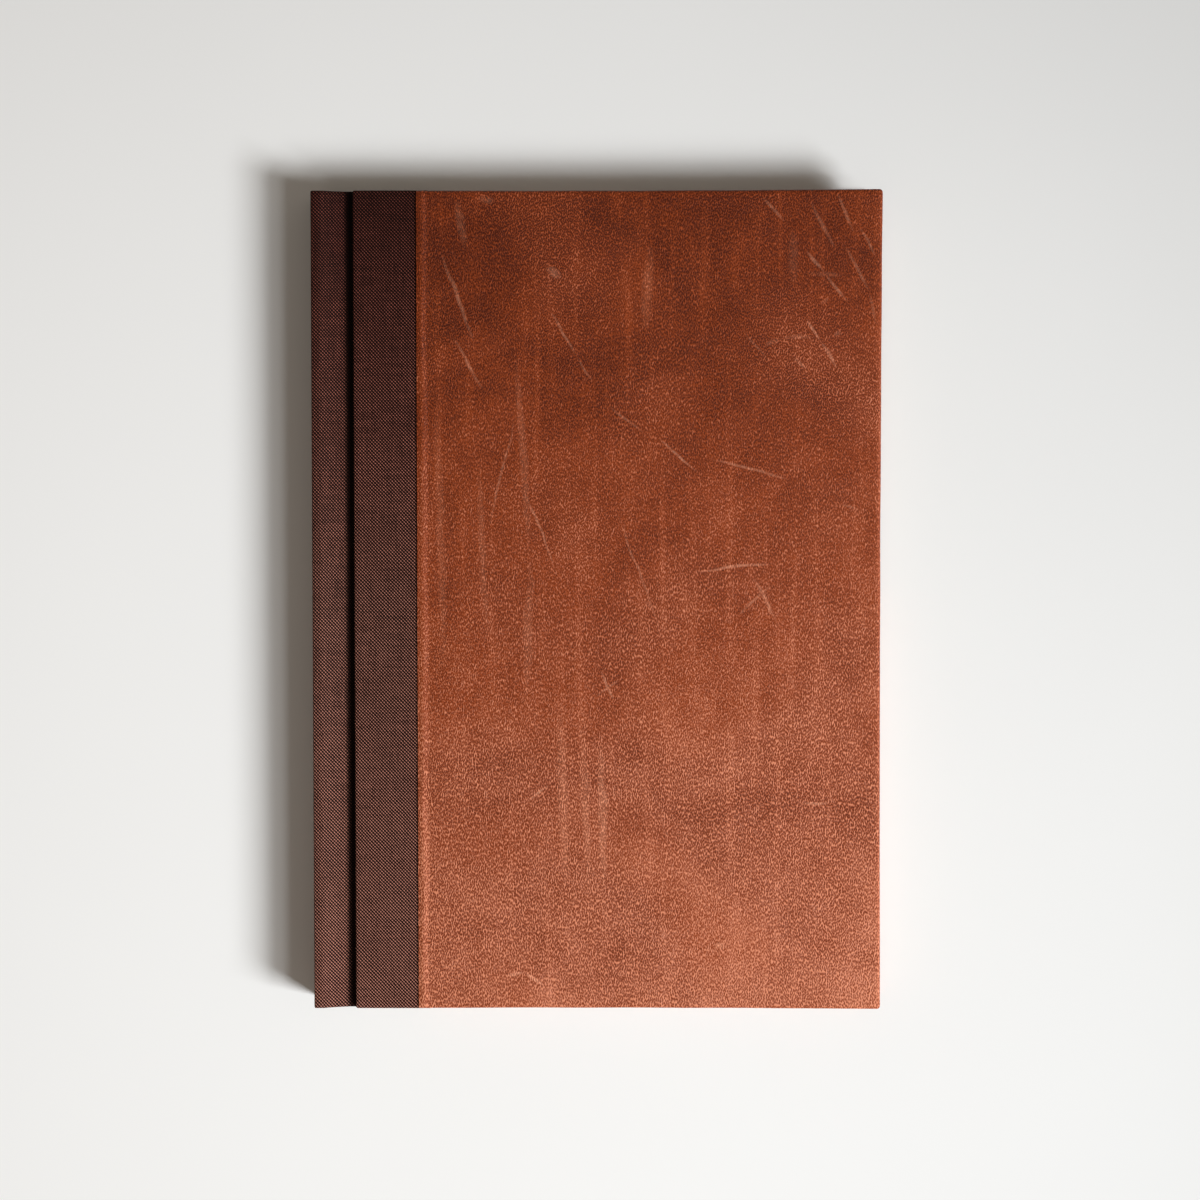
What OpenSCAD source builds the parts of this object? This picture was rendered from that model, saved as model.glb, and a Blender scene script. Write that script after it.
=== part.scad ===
// Hand-bound sketchbook: a sewn text block in a square-back case, with a cloth spine and leather sides.
// It lies on its back cover. X runs from the spine to the fore-edge, Y from the tail to the head, Z up.
// The origin is on the surface it lies on, under the middle of the case.

/* [Text block] */
// Width of a leaf, from its fold to the fore-edge
page_w = 143; // [100:0.5:190]
// Height of a leaf
page_h = 210; // [150:1:300]
// Thickness of one leaf
leaf_t = 0.18; // [0.12:0.01:0.28]
// Number of folded sections
section_count = 5; // [3:1:8]
// Number of leaves in one section
section_leaves = 8; // [4:4:12]
// Radius of a section's fold, as a share of its thickness: a half is a full round
fold_share = 0.6; // [0.52:0.02:1]
// Thickness of an endpaper
endpaper_t = 0.18; // [0.12:0.01:0.3]

/* [Sewing] */
// Number of linen tapes
tape_count = 3; // [2:1:4]
// Width of a tape
tape_w = 12; // [8:0.5:16]
// Thickness of a tape
tape_t = 0.3; // [0.2:0.05:0.5]
// Diameter of the sewing thread
thread_d = 0.4; // [0.3:0.05:0.6]
// Distance from a headband's tab to the kettle stitch
kettle_gap = 2; // [1:0.5:6]

/* [Spine linings] */
// Thickness of the open-weave mull
mull_t = 0.15; // [0.1:0.01:0.2]
// Distance from the turn-ins to the end of the mull
mull_gap = 8; // [4:0.5:14]
// Thickness of the lining paper
lining_t = 0.15; // [0.1:0.01:0.25]
// Distance from the ends of the leaves to the end of the lining paper
lining_gap = 2; // [1:0.5:6]
// Diameter of a headband's bead
headband_d = 1.8; // [1.2:0.1:2.4]
// Length of the tab that glues a headband to the spine
headband_tab = 10; // [6:0.5:16]

/* [Boards] */
// Thickness of a cover board
board_t = 2.2; // [1.6:0.1:3]
// Thickness of the spine board
spine_board_t = 2; // [1.2:0.1:2.6]
// How far the case reaches beyond the leaves
square_w = 3; // [2.6:0.1:5]
// Depth of the hollow between the spine board and the linings
hollow_w = 0.6; // [0.5:0.05:1.5]
// Gap between the closed cover and the first leaf
closing_gap = 0.2; // [0.1:0.05:0.5]

/* [Joints] */
// Width of the joint between the spine board and a cover board
joint_w = 9.1; // [7:0.1:12]
// Width of the flat bottom of the groove
groove_flat_w = 0.8; // [0.4:0.1:2]
// How steeply the cloth leaves the spine for the groove: 1 is a straight slope
groove_bend = 1.7; // [1:0.1:3]
// How much further the opened cover stays from the spine than from the middle of the joint
hinge_clearance = 0.3; // [0.2:0.05:0.4]

/* [Coverings] */
// Thickness of the leather on the face of a board
leather_t = 0.7; // [0.5:0.05:1]
// Thickness of the pared leather round the edges of a board
leather_edge_t = 0.5; // [0.45:0.05:0.8]
// Thickness of the book cloth
cloth_t = 0.35; // [0.25:0.05:0.4]
// Width of the cloth that shows between the groove and the leather
cloth_w = 16.7; // [10:0.1:40]
// How far the leather laps over the cloth
overlap_w = 3; // [2:0.5:6]
// Width of the leather and cloth turned in over the boards
turn_in_w = 15; // [10:0.5:20]
// Thickness of the pressed turn-ins
turn_in_t = 0.35; // [0.25:0.05:0.5]
// Width of the mull glued to the inside of a board
flange_w = 25; // [18:0.5:40]
// Distance from the end of a tape slip to the edge of the mull
slip_gap = 5; // [2:0.5:10]

/* [Rounding] */
// Radius of the leather round the edges of a board
leather_r = 0.9; // [0.4:0.1:1.2]
// Radius of the cloth round the edges of a board
cloth_r = 0.5; // [0.3:0.1:0.8]
// Radius of the leather corners seen from above
corner_r = 0.7; // [0.3:0.1:1.5]

/* [Hidden] */

$fn = 48;
cut = 1; // how far a cutting shape reaches past the faces that it cuts

paper_colour = [0.93, 0.90, 0.83];
endpaper_colour = [0.90, 0.86, 0.76];
board_colour = [0.55, 0.52, 0.47];
cloth_colour = [0.30, 0.18, 0.15];
leather_colour = [0.57, 0.28, 0.17];
linen_colour = [0.85, 0.80, 0.70];
lining_colour = [0.66, 0.53, 0.38];

// Heights above the middle of the text block, from the leaves out to the leather
section_t = section_leaves * leaf_t;
fold_r = fold_share * section_t;
z_pages = section_count * section_t / 2;
z_flyleaf = z_pages + endpaper_t;
z_paste = z_flyleaf + closing_gap;
z_turn = z_paste + endpaper_t;
z_board = z_turn + turn_in_t;
z_board_top = z_board + board_t;
z_cloth = z_board_top + cloth_t;
z_leather = z_board_top + leather_t;
case_t = 2 * z_leather;

// Places across the book, from the outside of the spine to the fore-edge
backing_t = tape_t + thread_d + mull_t + lining_t;
case_w = cloth_t + spine_board_t + hollow_w + backing_t + page_w + square_w;
x_out = -case_w / 2;
x_spine = x_out + cloth_t;
x_spine_in = x_spine + spine_board_t;
x_lining = x_spine_in + hollow_w;
x_mull = x_lining + lining_t;
x_thread = x_mull + mull_t;
x_fold = x_thread + thread_d + tape_t;
x_page = x_fold + page_w;
x_case = case_w / 2;
x_board = x_spine_in + joint_w;
x_board_end = x_case - leather_edge_t;
x_wall = x_board - cloth_t;
x_leather = x_wall + cloth_w;
x_cloth_end = x_leather + overlap_w;
x_turn = x_case - turn_in_w;

// Places along the book, as distances from its middle
y_page = page_h / 2;
y_case = y_page + square_w;
y_board = y_case - leather_edge_t;
y_cloth = y_board + cloth_t;
y_turn = y_case - turn_in_w;
y_mull = y_turn - mull_gap;
y_kettle = y_page - headband_tab - kettle_gap;

// The hinge line of a cover lies in the joint, high enough for the opened cover to clear the spine
groove_depth = z_cloth - z_board - cloth_t;
x_hinge = (x_out + x_wall) / 2 - hinge_clearance;
z_hinge = z_cloth - groove_depth / 2 + hinge_clearance / 2;
echo(case_w = case_w, case_h = 2 * y_case, case_t = case_t);
echo(x_hinge = x_hinge, front_z = z_leather + z_hinge, back_z = z_leather - z_hinge);

// Placing: pieces are drawn on the front half, and mirrored for the back half
module front() translate([0, 0, z_leather]) children();
module back() translate([0, 0, z_leather]) mirror([0, 0, 1]) children();

// A flat sheet or board from x0 to x1 and z0 to z1, y to each side of the middle
module slab(x0, x1, y, z0, z1) translate([x0, -y, z0]) cube([x1 - x0, 2 * y, z1 - z0]);

// The same sheet, between y0 and y1
module strip(x0, x1, y0, y1, z0, z1) translate([x0, y0, z0]) cube([x1 - x0, y1 - y0, z1 - z0]);

// A rectangle with round corners at its near end, its far end, or both
module rounded_outline(a0, a1, b0, b1, r, near = true, far = true) {
    square_from = near ? a0 + r : a0;
    square_to = far ? a1 - r : a1;
    translate([square_from, b0]) square([square_to - square_from, b1 - b0]);
    translate([a0, b0 + r]) square([a1 - a0, b1 - b0 - 2 * r]);
    for (b = [b0 + r, b1 - r]) {
        if (near) translate([square_from, b]) circle(r);
        if (far) translate([square_to, b]) circle(r);
    }
}

// Outline drawn across the book (X and Z), carried y to each side of the middle
module along_book(y) translate([0, y, 0]) rotate([90, 0, 0]) linear_extrude(2 * y) children();

// Outline drawn on the head edge (Y and Z), carried from x0 to x1
module across_book(x0, x1) translate([x0, 0, 0]) rotate([90, 0, 90]) linear_extrude(x1 - x0) children();

// A covered board: every outer edge is round, and the covering's cut edges are square
module covered(x0, x1, y, z0, z1, r, near, far, plan_r) {
    intersection() {
        along_book(y + cut) rounded_outline(x0, x1, z0, z1, r, near, far);
        across_book(x0 - cut, x1 + cut) rounded_outline(-y, y, z0, z1, r);
        translate([0, 0, z0 - cut]) linear_extrude(z1 - z0 + 2 * cut)
            rounded_outline(x0, x1, -y, y, plan_r, false, far);
    }
}

// Middle of each section's thickness
function section_z(i) = (i + 0.5) * section_t - z_pages;

// Text block: every section ends in a round fold at the spine
module page_block() color(paper_colour) front() along_book(y_page) intersection() {
    translate([x_fold, -z_pages]) square([page_w, 2 * z_pages]);
    union() {
        translate([x_fold + fold_r, -z_pages]) square([page_w - fold_r, 2 * z_pages]);
        for (i = [0 : section_count - 1])
            translate([x_fold + fold_r, section_z(i)]) circle(fold_r);
    }
}

module flyleaf() color(endpaper_colour) slab(x_fold, x_page, y_page, z_pages, z_flyleaf);

// Middle of each tape along the book, evenly spread between the ends of the mull
function tape_y(i) = y_mull * (2 * (i + 0.5) / tape_count - 1);

// One stitch over a tape: it leaves the fold on one side of the tape and goes back in on the other
module stitch(y, z) {
    reach = tape_w / 2 + thread_d / 2;
    x_stitch = x_thread + thread_d / 2;
    translate([x_stitch, y + reach, z]) rotate([90, 0, 0]) cylinder(d = thread_d, h = 2 * reach);
    for (side = [-1, 1])
        translate([x_stitch, y + side * reach, z]) rotate([0, 90, 0])
            cylinder(d = thread_d, h = x_fold - x_stitch);
}

module sewing_thread() color(linen_colour) front() {
    for (t = [0 : tape_count - 1], i = [0 : section_count - 1])
        stitch(tape_y(t), section_z(i));
    // The kettle stitches link the sections near the head and the tail
    for (side = [-1, 1])
        translate([x_fold - thread_d / 2, side * y_kettle, section_z(0)])
            cylinder(d = thread_d, h = (section_count - 1) * section_t);
}

module sewing_tapes() color(linen_colour) front()
    for (t = [0 : tape_count - 1])
        translate([0, tape_y(t), 0]) slab(x_fold - tape_t, x_fold, tape_w / 2, -z_turn, z_turn);

// Mull on the spine, with a return at each shoulder that meets the lining of the joint
module spine_mull() color(linen_colour) front() {
    slab(x_mull, x_thread, y_mull, -z_board, z_board);
    for (side = [0, 1])
        mirror([0, 0, side]) slab(x_mull, x_fold, y_mull, z_turn, z_board);
}

module spine_lining_paper() color(lining_colour) front()
    slab(x_lining, x_mull, y_page - lining_gap, -z_pages, z_pages);

// A headband sits on the head of the leaves, and its tab is glued to the folds
module headband() color(cloth_colour) front() {
    r = headband_d / 2;
    x_tab = x_fold - tape_t;
    translate([x_tab + r, y_page + r, -z_pages]) cylinder(r = r, h = 2 * z_pages);
    strip(x_tab, x_fold, y_page - headband_tab, y_page + r, -z_pages, z_pages);
}

module spine_board() color(board_colour) front()
    slab(x_spine, x_spine_in, y_board, -z_board_top, z_board_top);

// Cloth on the spine: round the long edges, over both ends and turned in behind them
module spine_cloth() color(cloth_colour) front() {
    difference() {
        covered(x_out, x_spine_in, y_cloth, -z_cloth, z_cloth, cloth_r, true, false, cloth_r);
        slab(x_spine, x_spine_in + cut, y_board, -z_board_top, z_board_top);
    }
    for (side = [0, 1])
        mirror([0, side, 0]) {
            strip(x_spine, x_spine_in + turn_in_t, y_board, y_cloth, -z_flyleaf, z_flyleaf);
            strip(x_spine_in, x_spine_in + turn_in_t, y_turn, y_cloth, -z_flyleaf, z_flyleaf);
        }
}

// Height of the cloth in the joint: it leaves the spine steeply and flattens towards the groove
joint_steps = 14;
function joint_x(i) = x_spine_in + (x_wall - groove_flat_w - x_spine_in) * i / joint_steps;
function joint_z(i) = z_board + cloth_t + groove_depth * pow(1 - i / joint_steps, groove_bend);

module joint_outline(t) polygon(concat(
    [for (i = [0 : joint_steps]) [joint_x(i), joint_z(i)]],
    [[x_wall, joint_z(joint_steps)], [x_wall, joint_z(joint_steps) - t]],
    [for (i = [joint_steps : -1 : 0]) [joint_x(i), joint_z(i) - t]]
));

module joint_cloth() color(cloth_colour) {
    along_book(y_cloth) joint_outline(cloth_t);
    for (side = [0, 1])
        mirror([0, side, 0]) translate([0, (y_turn + y_cloth) / 2, 0])
            along_book((y_cloth - y_turn) / 2) joint_outline(cloth_t + turn_in_t);
}

// Mull and tapes glued together where they cross the joint
module hinge_lining() color(linen_colour) slab(x_fold, x_board, y_mull, z_turn, z_board);

// The fold of the endpaper: it rises from the flyleaf and crosses the joint to the board
module endpaper_hinge() color(endpaper_colour) {
    slab(x_fold, x_board, y_page, z_paste, z_turn);
    slab(x_fold, x_fold + 2 * endpaper_t, y_page, z_flyleaf, z_turn);
}

module cover_board() color(board_colour) slab(x_board, x_board_end, y_board, z_board, z_board_top);

// Outside of the cloth on a cover board, up to where the leather laps over it
module cloth_outside()
    covered(x_wall, x_cloth_end, y_cloth, z_turn, z_cloth, cloth_r, true, false, cloth_r);

module board_cloth() color(cloth_colour) difference() {
    cloth_outside();
    slab(x_board, x_cloth_end + cut, y_board, z_board, z_board_top);
    slab(x_wall - cut, x_cloth_end + cut, y_turn, z_turn - cut, z_board);
}

// Leather on a cover board: round three edges and turned in, and lapped over the cloth
module cover_leather() color(leather_colour) difference() {
    covered(x_leather, x_case, y_case, z_turn, z_leather, leather_r, false, true, corner_r);
    slab(x_leather - cut, x_board_end, y_board, z_board, z_board_top);
    slab(x_leather - cut, x_turn, y_turn, z_turn - cut, z_board);
    slab(x_leather - cut, x_cloth_end, y_cloth, z_turn - cut, z_cloth);
}

// Card that levels the inside of the board between the turn-ins and the mull
module infill_card() color(board_colour) slab(x_board + flange_w, x_turn, y_turn, z_turn, z_board);

module mull_flange() color(linen_colour)
    slab(x_board, x_board + flange_w, y_mull, z_board - mull_t, z_board);

module tape_slips() color(linen_colour)
    for (t = [0 : tape_count - 1])
        translate([0, tape_y(t), 0])
            slab(x_board, x_board + flange_w - slip_gap, tape_w / 2, z_turn, z_board - mull_t);

module pastedown() color(endpaper_colour) slab(x_board, x_page, y_page, z_paste, z_turn);

page_block();
front() flyleaf();  // front_flyleaf
back() flyleaf();  // back_flyleaf
sewing_thread();
sewing_tapes();
spine_mull();
spine_lining_paper();
headband();  // head_headband
mirror([0, 1, 0]) headband();  // tail_headband
spine_board();
spine_cloth();
front() joint_cloth();  // front_joint_cloth
front() hinge_lining();  // front_hinge_lining
front() endpaper_hinge();  // front_endpaper_hinge
back() joint_cloth();  // back_joint_cloth
back() hinge_lining();  // back_hinge_lining
back() endpaper_hinge();  // back_endpaper_hinge
front() cover_board();  // front_board
front() cover_leather();  // front_leather
front() board_cloth();  // front_board_cloth
front() infill_card();  // front_infill_card
front() mull_flange();  // front_mull_flange
front() tape_slips();  // front_tape_slips
front() pastedown();  // front_pastedown
back() cover_board();  // back_board
back() cover_leather();  // back_leather
back() board_cloth();  // back_board_cloth
back() infill_card();  // back_infill_card
back() mull_flange();  // back_mull_flange
back() tape_slips();  // back_tape_slips
back() pastedown();  // back_pastedown
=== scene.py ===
"""Dresses the hand-bound sketchbook: grained leather sides, woven book cloth, sewn leaves and endpapers.

The packed model is the frame. Each new piece is worked out from the boxes of the nodes that it stands for.
Lengths are in metres. X runs from the spine to the fore-edge, Y from the tail to the head, and Z up.
Shapes are drawn on the front half, at heights above the middle of the text block, and mirrored for the back.
"""

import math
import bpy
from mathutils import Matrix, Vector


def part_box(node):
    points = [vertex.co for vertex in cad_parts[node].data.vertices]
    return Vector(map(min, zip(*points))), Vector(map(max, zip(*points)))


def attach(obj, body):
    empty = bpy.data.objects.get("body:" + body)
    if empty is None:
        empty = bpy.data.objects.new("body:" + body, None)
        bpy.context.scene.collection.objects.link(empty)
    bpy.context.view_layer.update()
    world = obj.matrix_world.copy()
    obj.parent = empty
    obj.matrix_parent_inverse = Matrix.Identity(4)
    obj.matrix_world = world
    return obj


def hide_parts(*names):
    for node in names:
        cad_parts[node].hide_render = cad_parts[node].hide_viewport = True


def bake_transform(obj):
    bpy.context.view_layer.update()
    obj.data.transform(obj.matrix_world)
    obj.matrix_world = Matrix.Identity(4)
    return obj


bl_info = {
    "name": "Hand-Bound Sketchbook",
    "version": (1, 0, 0),
    "blender": (4, 5, 0),
    "location": "View3D > Sidebar > Sketchbook",
    "description": "Dresses a sketchbook in leather, book cloth and paper, and lights it on a table",
    "category": "Add Mesh",
}

import bmesh
import bpy
import numpy as np

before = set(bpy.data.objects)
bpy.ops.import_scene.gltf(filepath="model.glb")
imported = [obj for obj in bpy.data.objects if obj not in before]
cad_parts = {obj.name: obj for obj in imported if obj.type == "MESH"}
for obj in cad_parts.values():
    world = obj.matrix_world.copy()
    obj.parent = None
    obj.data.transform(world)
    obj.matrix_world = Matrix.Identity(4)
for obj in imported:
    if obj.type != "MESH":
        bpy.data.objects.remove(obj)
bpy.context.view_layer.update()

MM = 0.001


def low(node):
    """Lowest corner of a node's box."""
    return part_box(node)[0]


def high(node):
    """Highest corner of a node's box."""
    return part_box(node)[1]


# Heights above the middle of the text block, which is the middle of the whole book
Z_MIDDLE = (low("page_block").z + high("page_block").z) / 2
Z_PAGES = high("page_block").z - Z_MIDDLE
Z_FLYLEAF = high("front_flyleaf").z - Z_MIDDLE
Z_PASTE = low("front_pastedown").z - Z_MIDDLE
Z_TURN = high("front_pastedown").z - Z_MIDDLE
Z_BOARD = low("front_board").z - Z_MIDDLE
Z_CLOTH = high("front_board_cloth").z - Z_MIDDLE
Z_LEATHER = high("front_leather").z - Z_MIDDLE

# Places across the book
X_OUT = low("spine_cloth").x
X_SPINE_IN = high("spine_board").x
X_FOLD = low("page_block").x
X_PAGE = high("page_block").x
X_WALL = low("front_board_cloth").x
X_BOARD = low("front_board").x
X_LEATHER = low("front_leather").x
X_CLOTH_END = high("front_board_cloth").x
X_CASE = high("front_leather").x

# Places along the book, as distances from its middle
Y_PAGE = high("page_block").y
Y_CASE = high("front_leather").y
Y_CLOTH = high("front_board_cloth").y
TURN_IN = X_CASE - high("front_infill_card").x


# Sizes and colours that a user would change


def colour_setting(name, description, default):
    """A colour, as three parts from 0 to 1."""
    return bpy.props.FloatVectorProperty(
        name=name, description=description, subtype="COLOR", size=3, min=0.0, max=1.0, default=default
    )


def length_setting(name, description, default):
    """A length in metres."""
    return bpy.props.FloatProperty(name=name, description=description, unit="LENGTH", default=default)


def angle_setting(name, description, degrees):
    """An angle, given in degrees."""
    return bpy.props.FloatProperty(
        name=name, description=description, subtype="ANGLE", default=math.radians(degrees)
    )


def power_setting(name, description, default):
    """The power of a lamp in watts."""
    return bpy.props.FloatProperty(name=name, description=description, unit="POWER", default=default)


class SKETCHBOOK_PG_leather(bpy.types.PropertyGroup):
    """Leather sides."""

    colour: colour_setting("Colour", "Middle tone of the leather", (0.28, 0.049, 0.0105))
    dark: colour_setting(
        "Dark", "Darkest tone, in the pits of the grain at the head", (0.050, 0.0060, 0.0010)
    )
    pale: colour_setting(
        "Pale", "Palest tone, on the ridges of the grain at the tail", (0.65, 0.228, 0.124)
    )
    scuffed: colour_setting(
        "Scuffed", "Tone that the scratches add, where the finish is broken", (0.42, 0.24, 0.16)
    )
    thickness: length_setting("Thickness", "Thickness of the skin", 0.6 * MM)
    edge_radius: length_setting("Edge radius", "Rounding over the edges of the boards", 0.9 * MM)
    ridge_height: length_setting(
        "Ridge height", "How far the leather rises where it laps over the cloth", 0.27 * MM
    )
    ridge_width: length_setting("Ridge width", "Width of that raised band", 2.7 * MM)
    bow: length_setting("Bow", "How far the hand-cut edges bow inwards", 0.3 * MM)


class SKETCHBOOK_PG_cloth(bpy.types.PropertyGroup):
    """Book cloth over the spine and the joints."""

    colour: colour_setting("Colour", "Tone of the crowns of the threads", (0.47, 0.195, 0.142))
    dark: colour_setting("Dark", "Tone between the threads", (0.0042, 0.0010, 0.0008))
    thickness: length_setting("Thickness", "Thickness of the cloth", 0.33 * MM)
    edge_radius: length_setting("Edge radius", "Rounding over the ends of the boards", 0.5 * MM)
    softness: length_setting("Softness", "How widely a bend in the cloth is spread", 0.3 * MM)
    groove_flat: length_setting("Groove floor", "Width of the flat floor of the groove", 0.8 * MM)
    groove_bend: bpy.props.FloatProperty(
        name="Groove bend", description="How steeply the cloth leaves the spine for the groove", default=1.7
    )
    pitch: length_setting("Pitch", "Distance between two like threads", 0.88 * MM)


class SKETCHBOOK_PG_paper(bpy.types.PropertyGroup):
    """Leaves, endpapers and sewing."""

    leaf_colour: colour_setting("Leaves", "Colour of the drawing paper", (0.80, 0.745, 0.635))
    endpaper_colour: colour_setting("Endpapers", "Colour of the endpapers", (0.74, 0.665, 0.53))
    sections: bpy.props.IntProperty(
        name="Sections", description="Number of sewn sections", default=5, min=1
    )
    section_sheets: bpy.props.IntProperty(
        name="Sheets in a section", description="Number of folded sheets in a section", default=4, min=1
    )
    air: length_setting("Air", "Air between two leaves", 0.014 * MM)
    cockle: length_setting("Cockle", "Height of the waves in a leaf", 0.02 * MM)


class SKETCHBOOK_PG_stage(bpy.types.PropertyGroup):
    """Camera, lights and table."""

    view_angle: angle_setting("View angle", "Angle across the picture", 28.72)
    camera_place: bpy.props.FloatVectorProperty(
        name="Camera place",
        description="Where the camera hangs over the book",
        subtype="TRANSLATION",
        size=3,
        default=(5.51 * MM, 21.93 * MM, 631.06 * MM),
    )
    camera_turn: bpy.props.FloatVectorProperty(
        name="Camera turn",
        description="How far the camera leans from straight down",
        subtype="EULER",
        size=3,
        default=(math.radians(-1.996), math.radians(0.428), math.radians(-0.049)),
    )
    lamp_distance: length_setting("Lamp distance", "Distance of the two window lights", 1.5)
    lamp_direction: angle_setting("Lamp direction", "Turn of the lights from +X", -28)
    low_height: angle_setting("Low light", "Angle of the low light above the table", 38.5)
    low_power: power_setting("Low power", "Power of the low light", 27.5)
    low_size: length_setting("Low size", "Side of the low light", 0.48)
    high_height: angle_setting("High light", "Angle of the high light above the table", 56)
    high_power: power_setting("High power", "Power of the high light", 3.6)
    high_size: length_setting("High size", "Side of the high light", 0.22)
    fill: bpy.props.FloatProperty(name="Fill", description="Light from all round", default=0.22)
    fill_colour: colour_setting("Fill colour", "Colour of the light from all round", (1.0, 0.87, 0.73))
    horizon_colour: colour_setting(
        "Horizon", "Colour of the room low down, and of the table far away, as it is seen", (0.80, 0.80, 0.79)
    )
    table_colour: colour_setting("Table", "Colour of the table", (0.80, 0.80, 0.80))


# Shapes as whole arrays

WAVES = 6
MERGE = 0.0005 * MM
SLIVER = 0.0004 * MM


def ripple(x, y, size, seed):
    """A smooth wavy field between about -1 and 1: six sine waves of length about size, in directions that
    the seed draws, added up and divided by their number's root."""
    draw = np.random.default_rng(seed)
    turn = draw.uniform(0, 2 * np.pi, WAVES)
    phase = draw.uniform(0, 2 * np.pi, WAVES)
    length = draw.uniform(0.7, 1.6, WAVES)
    wave = 2 * np.pi / (size * length)
    at = x[..., None] * np.cos(turn) * wave + y[..., None] * np.sin(turn) * wave + phase
    return np.sin(at).sum(-1) / np.sqrt(WAVES)


def smooth_step(value, start, end):
    """0 before start, 1 after end, and 3t² - 2t³ in between."""
    t = np.clip((value - start) / (end - start), 0, 1)
    return t * t * (3 - 2 * t)


def walk(corners, places):
    """Points at the given distances along a line of straight stretches between corners."""
    corners = np.asarray(corners, float)
    length = np.concatenate([[0], np.cumsum(np.hypot(*np.diff(corners, axis=0).T))])
    return np.stack([np.interp(places, length, corners[:, axis]) for axis in (0, 1)], 1), length


def soften(points, step, softness):
    """Rounds the bends of evenly spaced points: each becomes a bell-curve average of those round it, and the
    line is carried on past both ends by turning it about them, so that the ends stay where they are."""
    reach = int(4 * softness / step)
    weights = np.exp(-0.5 * (np.arange(-reach, reach + 1) * step / softness) ** 2)
    weights /= weights.sum()
    before = 2 * points[0] - points[reach:0:-1]
    after = 2 * points[-1] - points[-2 : -reach - 2 : -1]
    longer = np.concatenate([before, points, after])
    return np.stack([np.convolve(longer[:, axis], weights, "valid") for axis in (0, 1)], 1)


def left_normals(points):
    """Unit normals to the left of a line of points: the tangent, turned a quarter."""
    tangent = np.gradient(points, axis=0)
    tangent /= np.linalg.norm(tangent, axis=1)[:, None]
    return np.stack([-tangent[:, 1], tangent[:, 0]], 1)


def wrap(over, under, half, radius, sink, rows, arc_steps=4, cap_steps=3):
    """A covering carried along the book and turned round both of its ends.

    over and under are (points, outward normals) of the two facing outlines in X and Z. Each station is a
    closed ring: along over from tail to head, a quarter round, down the end, a quarter round, back along
    under, and up the other end. A quarter round at angle a moves a point in by r(1 - cos a) along its normal
    and out by r sin a along Y. sink moves the whole surface in by that much. Returns the points (stations,
    ring, 3) and, for each place on the ring, whether it is on under."""
    o, o_normal = over[0] - over[1] * sink, over[1]
    u, u_normal = under[0] - under[1] * sink, under[1]
    end = half - sink
    r = np.maximum(np.broadcast_to(radius, len(o)) - sink, 0.01 * MM)[:, None, None]
    turn = np.linspace(0, np.pi / 2, arc_steps + 1)[1:]
    share = (np.arange(1, cap_steps) / cap_steps)[None, :, None]

    def run(points, order):
        spread = np.broadcast_to(points[:, None, :], (len(points), len(rows), 2))
        return spread, (end - r[..., 0]) * rows[order][None, :]

    def quarter(points, normals, order):
        inward = r * (1 - np.cos(turn[order]))[None, :, None]
        along = end - r[..., 0] * (1 - np.sin(turn[order]))[None, :]
        return points[:, None, :] - normals[:, None, :] * inward, along

    def cap():
        a, b = o - o_normal * r[:, 0], u - u_normal * r[:, 0]
        return a[:, None, :] * (1 - share) + b[:, None, :] * share, np.full((len(o), cap_steps - 1), end)

    forward, backward = slice(None), slice(None, None, -1)
    pieces = [run(o, forward), quarter(o, o_normal, forward), cap(), quarter(u, u_normal, backward)]
    under_run = run(u, backward)
    pieces.append(under_run)
    tail = [quarter(u, u_normal, forward), cap(), quarter(o, o_normal, backward)]
    pieces += [(tail[0][0], -tail[0][1]), (tail[1][0][:, ::-1], -tail[1][1]), (tail[2][0], -tail[2][1])]
    flat = np.concatenate([piece[0] for piece in pieces], 1)
    along = np.concatenate([piece[1] for piece in pieces], 1)
    on_under = np.zeros(flat.shape[1], bool)
    first = sum(piece[0].shape[1] for piece in pieces[:4])
    on_under[first : first + under_run[0].shape[1]] = True
    return np.stack([flat[..., 0], along, flat[..., 1]], -1), on_under


def ring_faces(stations, ring):
    """Quads between neighbouring stations, round a closed ring."""
    s, r = np.meshgrid(np.arange(stations - 1), np.arange(ring), indexing="ij")
    nearby = (r + 1) % ring
    return np.stack([s * ring + r, (s + 1) * ring + r, (s + 1) * ring + nearby, s * ring + nearby], -1)


def shell_faces(faces, count):
    """A skin from its outer faces: the same faces turned over, count points further on, and a rim along every
    edge that only one face uses."""
    edges = np.stack([faces, np.roll(faces, -1, axis=1)], -1).reshape(-1, 2)
    _, which, uses = np.unique(np.sort(edges, 1), axis=0, return_inverse=True, return_counts=True)
    rim = edges[uses[which.ravel()] == 1]
    rim_faces = np.stack([rim[:, 1], rim[:, 0], rim[:, 0] + count, rim[:, 1] + count], 1)
    return np.concatenate([faces, faces[:, ::-1] + count, rim_faces])


def end_faces(stations, ring):
    """Flat ends for a closed ring tube: each is a strip of quads that joins the two halves of the ring."""
    half = ring // 2
    near = np.arange(half - 1)
    far = ring - 1 - near
    cap = np.stack([near, near + 1, far - 1, far], 1)
    return np.concatenate([cap, cap[:, ::-1] + (stations - 1) * ring])


def tube_faces(stations, ring):
    """All the quads of a closed ring tube, with both of its ends."""
    return np.concatenate([ring_faces(stations, ring).reshape(-1, 4), end_faces(stations, ring)])


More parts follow.
